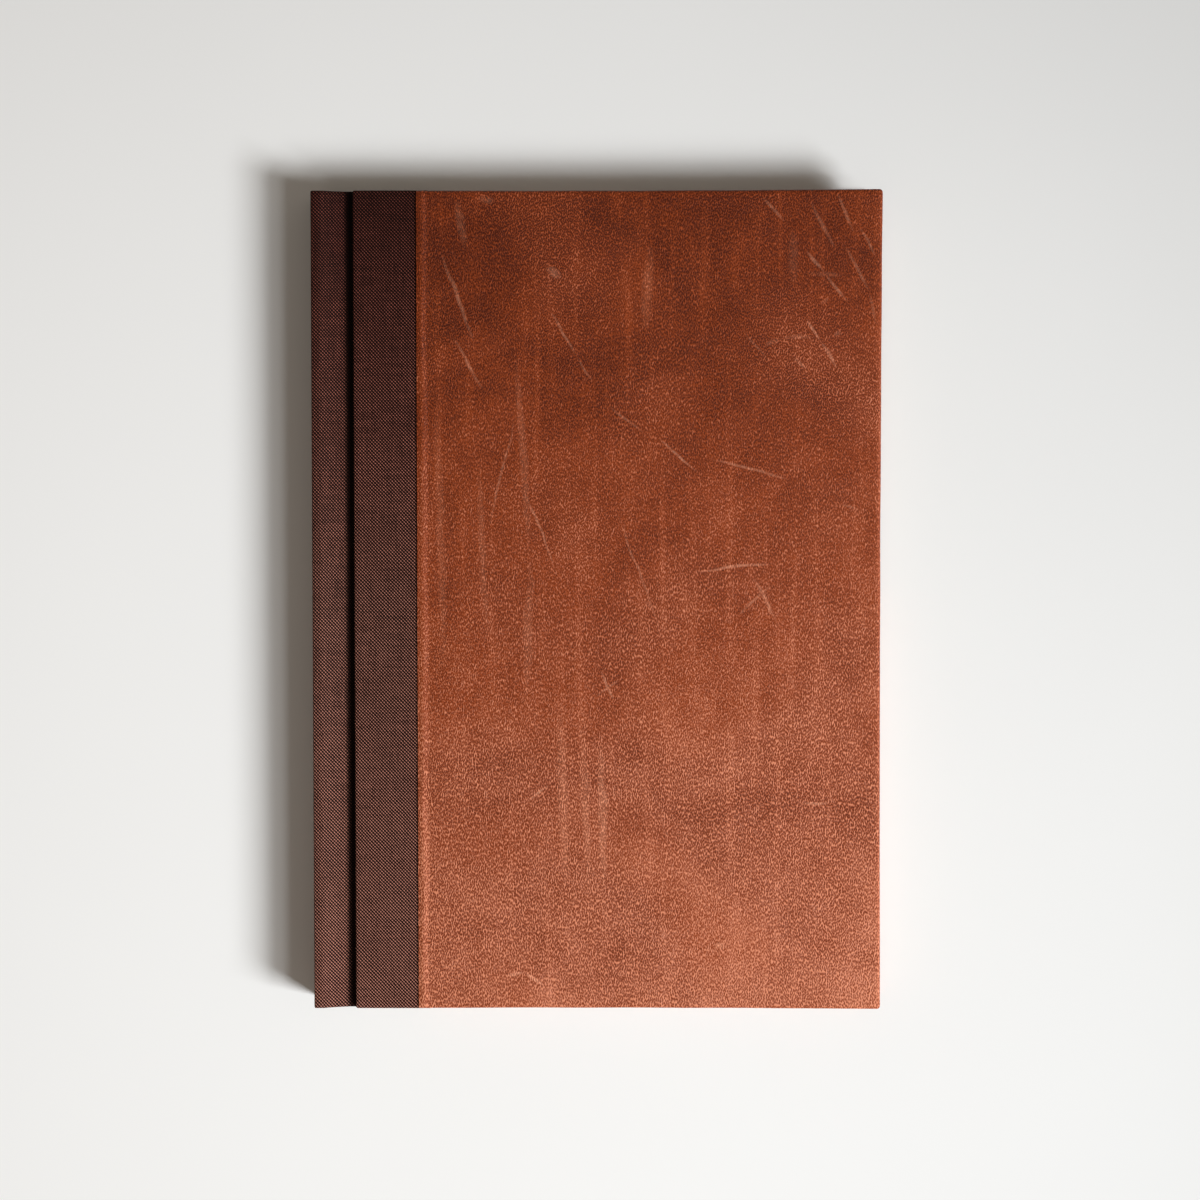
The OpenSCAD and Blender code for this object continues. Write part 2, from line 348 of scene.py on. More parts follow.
def surface_lengths(grid, across, seam):
    """Lengths on a wrapped skin as its own coordinates: across at each station, and round the ring at the
    middle station, with 0 half way round from the seam. Also gives the length of the ring."""
    middle = np.roll(grid[len(grid) // 2], -seam, axis=0)
    round_it = np.concatenate([[0], np.cumsum(np.linalg.norm(np.diff(middle, axis=0), axis=1))])
    lap = round_it[-1] + np.linalg.norm(middle[0] - middle[-1])
    around = np.roll(round_it - lap / 2, seam)
    return np.stack(np.broadcast_arrays(across[:, None], around[None, :]), -1).reshape(-1, 2), lap


def add_mesh(name, points, faces, uv=None, lap=None, tone=None, sharp=50):
    """Puts points and quads into a new object at the origin. Points that meet are merged, and faces are
    turned outwards if the enclosed volume comes out negative. A face that spans the seam of its surface
    coordinates has its low corners moved on by a whole lap."""
    points, faces = np.asarray(points, float).reshape(-1, 3), np.asarray(faces, int)
    a, b, c, d = (points[faces[:, corner]] for corner in range(4))
    volume = (a * np.cross(b, c)).sum() + (a * np.cross(c, d)).sum()
    if volume < 0:
        faces = faces[:, ::-1]
    mesh = bpy.data.meshes.new(name)
    mesh.vertices.add(len(points))
    mesh.vertices.foreach_set("co", points.astype(np.float32).ravel())
    mesh.loops.add(faces.size)
    mesh.loops.foreach_set("vertex_index", faces.astype(np.int32).ravel())
    mesh.polygons.add(len(faces))
    mesh.polygons.foreach_set("loop_start", np.arange(0, faces.size, 4, dtype=np.int32))
    mesh.update(calc_edges=True)
    if uv is not None:
        layer = mesh.uv_layers.new(name="surface")
        corners = np.asarray(uv, float).reshape(-1, 2)[faces]
        behind = corners[..., 1].max(1, keepdims=True) - corners[..., 1] > lap / 2
        corners[..., 1] += lap * behind
        layer.data.foreach_set("uv", corners.astype(np.float32).ravel())
    if tone is not None:
        attribute = mesh.attributes.new("tone", "FLOAT", "POINT")
        attribute.data.foreach_set("value", np.asarray(tone, np.float32).ravel())
    work = bmesh.new()
    work.from_mesh(mesh)
    bmesh.ops.remove_doubles(work, verts=work.verts, dist=MERGE)
    bmesh.ops.dissolve_degenerate(work, edges=work.edges, dist=SLIVER)
    work.to_mesh(mesh)
    work.free()
    mesh.shade_smooth()
    mesh.set_sharp_from_angle(angle=math.radians(sharp))
    piece = bpy.data.objects.new(name, mesh)
    bpy.context.collection.objects.link(piece)
    return piece


def on_side(points, side):
    """Moves a shape drawn above the middle of the text block to the front, or mirrors it to the back."""
    placed = np.array(points, float)
    placed[..., 2] = Z_MIDDLE + placed[..., 2] * (1 if side == "front" else -1)
    return placed


def mirror_faces(faces, side):
    """Turns the faces over on the back, where the shape is mirrored."""
    return faces if side == "front" else faces[:, ::-1]


# Materials: a small kit for joining nodes


class Nodes:
    """Adds nodes to a tree and joins them. An input may be a socket or a plain value, and a plain value is
    set on the node's own socket."""

    def __init__(self, tree):
        self.tree = tree

    def add(self, kind, inputs=(), **settings):
        node = self.tree.nodes.new(kind)
        for key, value in settings.items():
            setattr(node, key, value)
        for key, value in dict(inputs).items():
            self.put(node.inputs[key], value)
        return node

    def put(self, socket, value):
        if isinstance(value, bpy.types.NodeSocket):
            self.tree.links.new(value, socket)
        elif value is not None:
            socket.default_value = value

    def math(self, operation, a, b=None, c=None, clamp=False):
        return self.add("ShaderNodeMath", {0: a, 1: b, 2: c}, operation=operation, use_clamp=clamp).outputs[0]

    def vector(self, operation, a, b=None, scale=None):
        node = self.add("ShaderNodeVectorMath", {0: a, 1: b}, operation=operation)
        if scale is not None:
            self.put(node.inputs["Scale"], scale)
        return node.outputs["Value"] if operation in ("DOT_PRODUCT", "LENGTH") else node.outputs["Vector"]

    def remap(self, value, low_in, high_in, low_out=0.0, high_out=1.0, smooth=False):
        node = self.add(
            "ShaderNodeMapRange",
            {"Value": value, "From Min": low_in, "From Max": high_in, "To Min": low_out, "To Max": high_out},
            interpolation_type="SMOOTHSTEP" if smooth else "LINEAR",
        )
        return node.outputs["Result"]

    def mix(self, share, a, b, blend="MIX"):
        node = self.add("ShaderNodeMix", data_type="RGBA", blend_type=blend)
        self.put(node.inputs["Factor"], share)
        for socket, value in ((node.inputs[6], a), (node.inputs[7], b)):
            self.put(socket, value if isinstance(value, bpy.types.NodeSocket) else (*value, 1))
        return node.outputs[2]

    def noise(self, vector, scale, detail=2.0, roughness=0.5, distortion=0.0, flat=False):
        settings = {"Scale": scale, "Detail": detail, "Roughness": roughness, "Distortion": distortion}
        return self.add(
            "ShaderNodeTexNoise",
            {"Vector": vector, **settings},
            noise_dimensions="2D" if flat else "3D",
        ).outputs["Fac"]

    def turned(self, vector, angle=0.0, scale=(1, 1, 1)):
        return self.add(
            "ShaderNodeMapping", {"Vector": vector, "Rotation": (0, 0, angle), "Scale": scale}
        ).outputs["Vector"]

    def surface(self):
        """The piece's own surface coordinates: metres across the book, and metres round it."""
        return self.add("ShaderNodeUVMap", uv_map="surface").outputs["UV"]

    def place(self):
        """The place in the book's frame."""
        return self.add("ShaderNodeTexCoord").outputs["Object"]

    def tone(self):
        """The tone that the mesh holds for each point."""
        return self.add("ShaderNodeAttribute", attribute_name="tone").outputs["Fac"]

    def split(self, vector):
        return self.add("ShaderNodeSeparateXYZ", {0: vector}).outputs

    def bump(self, shader, height, strength, distance):
        node = self.add("ShaderNodeBump", {"Height": height, "Strength": strength, "Distance": distance})
        self.put(shader.inputs["Normal"], node.outputs[0])

    def group(self, tree, **inputs):
        node = self.add("ShaderNodeGroup", node_tree=tree)
        for key, value in inputs.items():
            self.put(node.inputs[key], value)
        return node.outputs


def new_group(name, inputs, outputs):
    """An empty node group with named sockets: each is a name and a kind, such as Float or Vector."""
    tree = bpy.data.node_groups.new(name, "ShaderNodeTree")
    for label, kind in inputs:
        tree.interface.new_socket(label, in_out="INPUT", socket_type=f"NodeSocket{kind}")
    for label, kind in outputs:
        tree.interface.new_socket(label, in_out="OUTPUT", socket_type=f"NodeSocket{kind}")
    nodes = Nodes(tree)
    return tree, nodes, nodes.add("NodeGroupInput").outputs, nodes.add("NodeGroupOutput").inputs


def new_material(name, colour, finish):
    """A material with one Principled shader. finish holds the shader's constant sockets. Returns the
    material, its node kit and the shader."""
    material = bpy.data.materials.new(name)
    material.use_nodes = True
    material.diffuse_color = (*colour, 1)
    nodes = Nodes(material.node_tree)
    shader = material.node_tree.nodes["Principled BSDF"]
    for key, value in finish.items():
        shader.inputs[key].default_value = value
    return material, nodes, shader


def scaled(colour, shades):
    """A colour with each part multiplied by the like part of shades."""
    return tuple(part * shade for part, shade in zip(colour, shades))


def wear_mark_group():
    """One scratch as a long thin ellipse: 1 less the square of the distance from its centre, measured in half
    lengths and half widths. Along and Across are its two directions, each divided by half its size."""
    tree, nodes, given, result = new_group(
        "Scratch",
        [
            ("Position", "Vector"),
            ("Centre", "Vector"),
            ("Along", "Vector"),
            ("Across", "Vector"),
            ("Depth", "Float"),
        ],
        [("Mask", "Float")],
    )
    reach = nodes.vector("SUBTRACT", given["Position"], given["Centre"])
    along = nodes.vector("DOT_PRODUCT", reach, given["Along"])
    across = nodes.vector("DOT_PRODUCT", reach, given["Across"])
    squares = nodes.math("MULTIPLY_ADD", along, along, nodes.math("MULTIPLY", across, across))
    inside = nodes.math("SUBTRACT", 1.0, squares, clamp=True)
    nodes.put(result["Mask"], nodes.math("MULTIPLY", inside, given["Depth"]))
    return tree


def leather_grain_group():
    """Grain of the skin: a net of pale ridges round dark pits, where a pit is a cell of a Voronoi pattern.
    The cells are drawn out along the book, and further up they lean. Side is 0 where they run along the book
    and 1 where they lean. Height is 0 in a pit and 1 on a ridge."""
    tree, nodes, given, result = new_group(
        "Leather Grain", [("Surface", "Vector"), ("Side", "Float")], [("Height", "Float")]
    )

    def cells(angle, stretch, scale):
        place = nodes.turned(given["Surface"], angle, (1.0, stretch, 1.0))
        return nodes.add(
            "ShaderNodeTexVoronoi",
            {"Vector": place, "Scale": scale, "Randomness": 1.0},
            voronoi_dimensions="2D",
        ).outputs["Distance"]

    along = cells(angle=math.radians(3), stretch=0.38, scale=3500.0)
    leaning = cells(angle=math.radians(38), stretch=0.55, scale=3200.0)
    mixed = nodes.math("MULTIPLY_ADD", nodes.math("SUBTRACT", leaning, along), given["Side"], along)
    pit_floor, ridge_top = 0.10, 0.80
    nodes.put(result["Height"], nodes.remap(mixed, pit_floor, ridge_top))
    return tree


def book_weave_group():
    """Plain weave on the cloth's own coordinates: crowns of thread where two crossing sets of diagonal rows
    are both high, one set stronger than the other. Pitch is the distance between like threads."""
    tree, nodes, given, result = new_group(
        "Book Weave", [("Surface", "Vector"), ("Pitch", "Float")], [("Height", "Float"), ("Slub", "Float")]
    )
    parts = nodes.split(given["Surface"])
    along_ratio = 1.06
    waver = 0.45
    main_share, other_share = 0.5, 0.25
    across = nodes.math("DIVIDE", parts["X"], given["Pitch"])
    along = nodes.math("DIVIDE", parts["Y"], nodes.math("MULTIPLY", given["Pitch"], along_ratio))
    drift = nodes.noise(given["Surface"], scale=140.0, detail=1.0, flat=True)
    across = nodes.math("MULTIPLY_ADD", drift, waver, across)
    main = nodes.math("SINE", nodes.math("MULTIPLY", nodes.math("ADD", across, along), 2 * math.pi))
    other = nodes.math("SINE", nodes.math("MULTIPLY", nodes.math("SUBTRACT", across, along), 2 * math.pi))
    main = nodes.math("MULTIPLY_ADD", main, main_share, 1 - main_share)
    other = nodes.math("MULTIPLY_ADD", other, other_share, 1 - other_share)
    crowns = nodes.math("MULTIPLY", main, other)
    # Thick and thin threads: noise drawn out along each set
    warp = nodes.noise(nodes.turned(given["Surface"], 0.0, (1500.0, 110.0, 1.0)), 1.0, 1.0, flat=True)
    weft = nodes.noise(nodes.turned(given["Surface"], 0.0, (110.0, 1450.0, 1.0)), 1.0, 1.0, flat=True)
    nodes.put(result["Height"], crowns)
    nodes.put(result["Slub"], nodes.math("MULTIPLY_ADD", warp, 0.5, nodes.math("MULTIPLY", weft, 0.5)))
    return tree


def paper_fibre_group():
    """Fibres and soft clouds of a felt-marked paper."""
    tree, nodes, given, result = new_group(
        "Paper Fibre", [("Position", "Vector")], [("Height", "Float"), ("Cloud", "Float"), ("Fleck", "Float")]
    )
    place = given["Position"]
    drawn_out = nodes.turned(place, 0.6, (1.0, 0.15, 1.0))
    slanting = nodes.turned(place, -0.5, (1.0, 0.35, 1.0))
    felt = nodes.noise(place, scale=1400.0, detail=3.0, roughness=0.6)
    fibres = nodes.noise(drawn_out, scale=3800.0, detail=2.0, roughness=0.6, distortion=1.0)
    flecks = nodes.noise(slanting, scale=900.0, detail=2.0, roughness=0.5, distortion=1.5)
    nodes.put(result["Height"], nodes.math("MULTIPLY_ADD", fibres, 0.4, nodes.math("MULTIPLY", felt, 0.6)))
    nodes.put(result["Cloud"], nodes.noise(place, scale=45.0, detail=3.0, roughness=0.55))
    nodes.put(result["Fleck"], nodes.remap(flecks, 0.70, 0.76))
    return tree


GROUPS = {}


def group_of(name):
    """The node group of that name, made the first time that it is asked for."""
    makers = {
        "scratch": wear_mark_group,
        "grain": leather_grain_group,
        "weave": book_weave_group,
        "fibre": paper_fibre_group,
    }
    if name not in GROUPS:
        GROUPS[name] = makers[name]()
    return GROUPS[name]


# Scratches on each side, in millimetres from the middle of the cover: from, to, width and strength
FRONT_SCRATCHES = [
    ((-40.7, 92.5), (-32.0, 68.7), 0.55, 0.50),
    ((-37.8, 70.2), (-29.6, 56.5), 0.50, 0.45),
    ((-13.2, 88.0), (-9.0, 85.9), 1.30, 0.45),
    ((-12.5, 77.2), (-5.0, 65.2), 0.40, 0.48),
    ((-5.0, 65.2), (-1.1, 58.6), 0.35, 0.40),
    ((-36.5, 106.7), (-34.4, 93.0), 1.20, 0.22),
    ((-31.0, 106.7), (-26.7, 105.4), 1.20, 0.24),
    ((43.7, 106.2), (49.0, 100.2), 0.50, 0.50),
    ((51.3, 99.1), (51.6, 83.2), 1.50, 0.12),
    ((55.8, 105.4), (62.8, 92.9), 0.60, 0.34),
    ((55.0, 86.6), (64.8, 86.3), 0.70, 0.15),
    ((63.0, 107.3), (67.5, 97.0), 0.50, 0.46),
    ((55.1, 92.8), (59.6, 86.7), 0.50, 0.55),
    ((59.6, 86.7), (66.2, 78.8), 0.48, 0.50),
    ((58.6, 78.3), (60.7, 80.4), 0.50, 0.32),
    ((64.8, 94.3), (71.8, 81.7), 0.50, 0.34),
    ((71.8, 81.7), (73.5, 73.0), 0.50, 0.30),
    ((62.4, 70.6), (64.2, 71.6), 0.60, 0.38),
    ((43.9, 67.9), (48.1, 70.0), 0.70, 0.22),
    ((48.1, 70.0), (57.2, 70.0), 0.70, 0.22),
    ((51.6, 64.4), (55.4, 61.6), 0.50, 0.30),
    ((55.1, 74.8), (58.8, 69.0), 0.42, 0.58),
    ((58.8, 69.0), (63.2, 61.9), 0.52, 0.62),
    ((69.0, 98.4), (73.5, 90.8), 0.40, 0.42),
    ((3.3, 52.4), (12.4, 44.8), 0.35, 0.32),
    ((15.9, 43.9), (26.8, 34.6), 0.38, 0.56),
    ((30.0, 38.2), (51.0, 33.0), 0.42, 0.50),
    ((26.0, 8.7), (47.1, 11.0), 0.42, 0.60),
    ((41.3, 7.0), (47.5, -4.5), 0.50, 0.45),
    ((36.5, -3.5), (45.8, 5.2), 0.38, 0.40),
    ((64.2, 26.1), (69.5, 25.0), 0.40, 0.36),
    ((53.7, -53.0), (61.6, -52.2), 0.45, 0.40),
    ((30.7, -89.7), (34.2, -90.8), 0.90, 0.35),
    ((-24.3, -98.2), (-19.0, -97.2), 0.50, 0.52),
    ((-19.0, -97.2), (-13.8, -101.2), 0.45, 0.48),
    ((0.8, -17.3), (4.8, -26.0), 0.45, 0.45),
    ((-0.5, -24.5), (6.2, -19.5), 0.35, 0.35),
    ((-18.8, -52.0), (-12.4, -47.6), 0.40, 0.50),
    ((38.5, 71.5), (45.0, 64.5), 0.30, 0.25),
    ((-21.2, 49.6), (-28.6, 20.0), 0.35, 0.34),
    ((-19.8, 32.4), (-10.1, 7.5), 0.35, 0.42),
    ((5.0, 24.7), (17.2, -7.5), 0.35, 0.32),
    ((-21.0, 66.0), (-17.5, 12.0), 1.10, 0.17),
    ((-17.5, 12.0), (-18.5, -26.5), 1.30, 0.15),
    ((-9.8, -26.0), (-8.0, -75.0), 1.50, 0.17),
    ((-4.0, -30.0), (-2.0, -77.0), 1.20, 0.18),
    ((1.2, -35.0), (1.9, -76.0), 1.30, 0.28),
    ((-42.0, 58.0), (-40.0, -20.0), 1.20, 0.12),
    ((-31.0, 40.0), (-29.0, -11.0), 1.00, 0.14),
    ((14.2, 95.0), (12.6, 71.0), 1.60, 0.17),
]
BACK_SCRATCHES = [
    ((-22.0, 61.0), (-3.5, 48.0), 0.45, 0.55),
    ((8.0, 12.0), (33.0, 19.5), 0.40, 0.50),
    ((41.0, -38.0), (52.0, -61.0), 0.60, 0.60),
    ((-31.0, -22.0), (-26.0, -45.0), 0.45, 0.45),
    ((12.0, -84.0), (29.0, -79.0), 0.50, 0.50),
    ((52.0, 74.0), (60.0, 88.0), 0.50, 0.50),
]


# Tones of the leather: 0 is dark, 0.5 the middle tone and 1 pale. The tone is painted lit towards the tail
# and shaded towards the head, and the grain and the scuffs are painted stronger towards the tail with it. The
# shift towards the fore-edge is painted sheen, and the rubbed shifts are partly painted highlight.
TONE_LIT_AT_TAIL, TONE_SHADED_AT_HEAD = 0.69, 0.20
PAINTED_SHEEN_AT_SPINE, PAINTED_SHEEN_AT_FORE_EDGE = -0.036, 0.038
CLOUD_SHIFT, MOTTLE_SHIFT, STREAK_SHIFT = 0.085, 0.05, 0.11
GRAIN_AT_TAIL, GRAIN_AT_HEAD = 1.06, 0.68
RUBBED_AND_LIT_BY_CLOTH, RUBBED_AND_LIT_AT_EDGE = 0.095, 0.05
SCRATCH_SHIFT = 0.12
SCUFF_AT_TAIL, SCUFF_AT_HEAD = 1.25, 0.55


def scratch_mask(nodes, surface, scratches):
    """The scratches of one side: at each place the strongest of them. Noise moves the places by up to about
    half a millimetre, so that the lines waver, and more noise breaks them up."""
    waver = 1.2 * MM
    broadened = 1.15
    shake = nodes.add(
        "ShaderNodeTexNoise", {"Vector": surface, "Scale": 130.0, "Detail": 1.0}, noise_dimensions="2D"
    ).outputs["Color"]
    shaken = nodes.vector("SCALE", nodes.vector("SUBTRACT", shake, (0.5, 0.5, 0.5)), scale=waver)
    flat = nodes.vector("MULTIPLY", nodes.vector("ADD", surface, shaken), (1.0, 1.0, 0.0))
    marks = 0.0
    for start, end, width, depth in scratches:
        start, end = np.array([*start, 0.0]) * MM, np.array([*end, 0.0]) * MM
        half = (end - start) / 2
        length = np.linalg.norm(half)
        mark = nodes.group(
            group_of("scratch"),
            Position=flat,
            Centre=(start + end) / 2,
            Along=half / length**2,
            Across=np.array([-half[1], half[0], 0.0]) / (length * broadened * width * MM),
            Depth=depth,
        )["Mask"]
        marks = nodes.math("MAXIMUM", mark, marks)
    gaps = nodes.noise(surface, scale=700.0, detail=2.0, roughness=0.6, flat=True)
    return nodes.math("MULTIPLY", marks, nodes.remap(gaps, 0.34, 0.62, 0.40, 1.0))


def rubbed_and_highlight_shift(nodes, parts, mottle):
    """A paler tone on the band that laps over the cloth, and along the outer edges: partly wear where hands
    rub, and partly painted highlight where these raised places catch the light.
    """
    lap, uneven, edge = 1.2 * MM, 2.4 * MM, 0.5 * MM
    from_cloth = nodes.math("SUBTRACT", parts["X"], X_LEATHER + lap)
    from_cloth = nodes.math("ADD", from_cloth, nodes.math("MULTIPLY", mottle, uneven))
    by_cloth = nodes.remap(from_cloth, 1.6 * MM, 3.6 * MM, RUBBED_AND_LIT_BY_CLOTH, 0.0, smooth=True)
    from_fore_edge = nodes.math("ABSOLUTE", nodes.math("SUBTRACT", X_CASE - edge, parts["X"]))
    from_ends = nodes.math("SUBTRACT", Y_CASE - edge, nodes.math("ABSOLUTE", parts["Y"]))
    from_edge = nodes.math("MINIMUM", from_fore_edge, nodes.math("ABSOLUTE", from_ends))
    at_edge = nodes.remap(from_edge, 0.3 * MM, 1.2 * MM, RUBBED_AND_LIT_AT_EDGE, 0.0, smooth=True)
    return nodes.math("MAXIMUM", by_cloth, at_edge)


def leather_material(name, look, scratches):
    """Aniline leather in one scale of tones, from dark through the middle tone to pale. The tone is the sum
    of slow changes along the book, which are painted light and shade, and across it, which are painted sheen,
    clouds, long streaks, the grain, scratches, and rubbed edges, which are partly painted highlight."""
    material, nodes, shader = new_material(name, look.colour, {"IOR": 1.45, "Specular IOR Level": 0.17})
    surface = nodes.surface()
    parts = nodes.split(surface)
    towards_head = nodes.remap(parts["Y"], -Y_CASE, Y_CASE)
    speckled = nodes.turned(surface, 0.5, (1.0, 0.8, 1.0))
    drawn_out = nodes.turned(surface, math.radians(3), (1.0, 0.05, 1.0))
    clouds = nodes.noise(surface, scale=26.0, detail=3.0, roughness=0.6, distortion=0.8, flat=True)
    mottle = nodes.noise(speckled, scale=120.0, detail=3.0, roughness=0.6, flat=True)
    streaks = nodes.noise(drawn_out, scale=300.0, detail=2.0, roughness=0.6, flat=True)
    drift = nodes.noise(surface, scale=28.0, detail=0.0, flat=True)
    side = nodes.math("MULTIPLY_ADD", drift, 1.2, nodes.math("SUBTRACT", towards_head, 0.75), clamp=True)
    grain = nodes.group(group_of("grain"), Surface=surface, Side=side)
    marks = scratch_mask(nodes, surface, scratches)

    # Painted light and shade: the grain's strength and the tone rise from the head to the tail, as the light
    # on the book does
    strength = nodes.remap(towards_head, 0.0, 1.0, GRAIN_AT_TAIL, GRAIN_AT_HEAD)
    tone = nodes.remap(towards_head, 0.0, 1.0, TONE_LIT_AT_TAIL, TONE_SHADED_AT_HEAD)
    for shift in (
        # Painted sheen: the tone grows paler from the spine towards the fore-edge
        nodes.remap(parts["X"], X_LEATHER, X_CASE, PAINTED_SHEEN_AT_SPINE, PAINTED_SHEEN_AT_FORE_EDGE),
        nodes.remap(clouds, 0.28, 0.72, -CLOUD_SHIFT, CLOUD_SHIFT),
        nodes.remap(mottle, 0.28, 0.72, -MOTTLE_SHIFT, MOTTLE_SHIFT),
        nodes.remap(streaks, 0.50, 0.80, 0.0, STREAK_SHIFT, smooth=True),
        nodes.math("MULTIPLY", nodes.math("SUBTRACT", grain["Height"], 0.5), strength),
        nodes.math("MULTIPLY", marks, SCRATCH_SHIFT),
        # Partly wear and partly painted highlight, on the band by the cloth and along the edges
        rubbed_and_highlight_shift(nodes, parts, mottle),
    ):
        tone = nodes.math("ADD", tone, shift)
    lower = nodes.mix(nodes.remap(tone, 0.0, 0.5), look.dark, look.colour)
    colour = nodes.mix(nodes.remap(tone, 0.5, 1.0), lower, look.pale)
    # Painted light: the scuffs show more strongly towards the tail
    broken = nodes.remap(towards_head, 0.0, 1.0, SCUFF_AT_TAIL, SCUFF_AT_HEAD)
    scuffs = nodes.math("MULTIPLY", marks, broken)
    nodes.put(shader.inputs["Base Color"], nodes.mix(scuffs, colour, look.scuffed, blend="ADD"))

    dull, polished, scratched = 0.52, 0.42, 0.12
    roughness = nodes.remap(mottle, 0.3, 0.7, dull, polished)
    nodes.put(shader.inputs["Roughness"], nodes.math("MULTIPLY_ADD", marks, scratched, roughness))
    nodes.bump(shader, grain["Height"], strength=1.0, distance=0.085 * MM)
    return material


def cloth_material(name, look):
    """Starched book cloth: light thread crowns over dark gaps, with thick and thin threads. Painted light and
    shade make it lighter towards the tail and darker and redder towards the head, and painted shade darkens
    the pressed floor of the groove."""
    material, nodes, shader = new_material(name, look.colour, {"Roughness": 0.7, "Specular IOR Level": 0.06})
    crown_steepness = 3.2
    painted_light_at_tail, painted_shade_at_head, crown_light_in_shaded_groove = 2.50, 0.33, 0.05
    deeper = scaled(look.colour, (1.06, 0.66, 0.64))
    surface = nodes.surface()
    parts = nodes.split(surface)
    weave = nodes.group(group_of("weave"), Surface=surface, Pitch=look.pitch)
    uneven = nodes.noise(surface, scale=55.0, detail=3.0, roughness=0.6, flat=True)
    light = nodes.math("POWER", weave["Height"], crown_steepness)
    for factor in (
        nodes.remap(weave["Slub"], 0.3, 0.7, 0.65, 1.35),
        nodes.remap(uneven, 0.3, 0.7, 0.88, 1.12),
        # Painted light and shade: the crowns are lit towards the tail and shaded towards the head
        nodes.remap(parts["Y"], -Y_CASE, Y_CASE, painted_light_at_tail, painted_shade_at_head),
        # Painted shade along the floor of the groove, where the board's wall shades it
        nodes.remap(nodes.tone(), 0.0, 1.0, 1.0, crown_light_in_shaded_groove),
    ):
        light = nodes.math("MULTIPLY", light, factor)
    # Painted shade: the threads turn darker and redder towards the head
    thread = nodes.mix(nodes.remap(parts["Y"], 0.0, Y_CASE), look.colour, deeper)
    nodes.put(shader.inputs["Base Color"], nodes.mix(light, look.dark, thread))
    nodes.bump(shader, weave["Height"], strength=0.7, distance=0.09 * MM)
    return material


def paper_material(name, colour, fleck=0.25, toned=False):
    """Uncoated paper: felt marks, faint clouds and a few flecks. toned adds each sheet's own tone."""
    material, nodes, shader = new_material(name, colour, {"Roughness": 0.86, "Specular IOR Level": 0.3})
    fibre = nodes.group(group_of("fibre"), Position=nodes.place())
    darker = scaled(colour, (0.86, 0.84, 0.80))
    brown = scaled(colour, (0.62, 0.52, 0.40))
    cloud_share, tone_share = 0.30, 0.55
    shown = nodes.mix(nodes.remap(fibre["Cloud"], 0.35, 0.68, 0.0, cloud_share), colour, darker)
    shown = nodes.mix(nodes.math("MULTIPLY", fibre["Fleck"], fleck), shown, brown)
    if toned:
        shown = nodes.mix(nodes.math("MULTIPLY", nodes.tone(), tone_share), shown, brown)
    nodes.put(shader.inputs["Base Color"], shown)
    nodes.bump(shader, fibre["Height"], strength=0.35, distance=0.03 * MM)
    return material


def linen_material(name, colour, pitch, gap):
    """Plain linen on the flat: threads both ways. gap is how dark the holes between them are."""
    material, nodes, shader = new_material(name, colour, {"Roughness": 0.8, "Sheen Weight": 0.15})
    place = nodes.place()
    parts = nodes.split(place)
    waves = [
        nodes.math("ABSOLUTE", nodes.math("SINE", nodes.math("MULTIPLY", run, math.pi / pitch)))
        for run in (nodes.math("ADD", parts["X"], parts["Z"]), parts["Y"])
    ]
    threads = nodes.math("MAXIMUM", waves[0], waves[1])
    slub = nodes.noise(place, scale=900.0, detail=2.0, roughness=0.6)
    holes = nodes.remap(threads, 0.25, 0.75, gap, 0.0, smooth=True)
    darker = scaled(colour, (0.35, 0.35, 0.35))
    shown = nodes.mix(nodes.remap(slub, 0.3, 0.7, 0.35, 0.0), colour, darker)
    nodes.put(shader.inputs["Base Color"], nodes.mix(holes, shown, darker))
    nodes.bump(shader, threads, strength=0.5, distance=0.08 * MM)
    return material


def board_material():
    """Grey binder's board: pressed layers with specks of pulp."""
    grey, pulp = (0.30, 0.27, 0.23), (0.13, 0.11, 0.09)
    dark_layer, pale_layer = (0.24, 0.215, 0.18), (0.36, 0.33, 0.285)
    material, nodes, shader = new_material("Binder's board", grey, {"Roughness": 0.9})
    place = nodes.place()
    layers = nodes.noise(nodes.turned(place, 0.0, (1.0, 1.0, 30.0)), scale=120.0, detail=2.0, roughness=0.6)
    specks = nodes.noise(place, scale=1600.0, detail=2.0, roughness=0.7)
    shown = nodes.mix(nodes.remap(layers, 0.3, 0.7), dark_layer, pale_layer)
    shown = nodes.mix(nodes.remap(specks, 0.60, 0.74, 0.0, 0.7), shown, pulp)
    nodes.put(shader.inputs["Base Color"], shown)
    nodes.bump(shader, specks, strength=0.5, distance=0.06 * MM)
    return material


def dress(piece, material, body=None, blend_to=None):
    """Gives a new piece its material and slot, and makes it ride a body. A piece given blend_to is baked
    where it stands and rides no body.
    """
    piece.data.materials.append(material)
    if blend_to is None:
        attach(piece, body)
    else:
        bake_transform(piece)


def dress_node(node, material):
    """Puts a material on every slot of a carried-over node."""
    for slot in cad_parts[node].material_slots:
        slot.material = material


# Leather sides


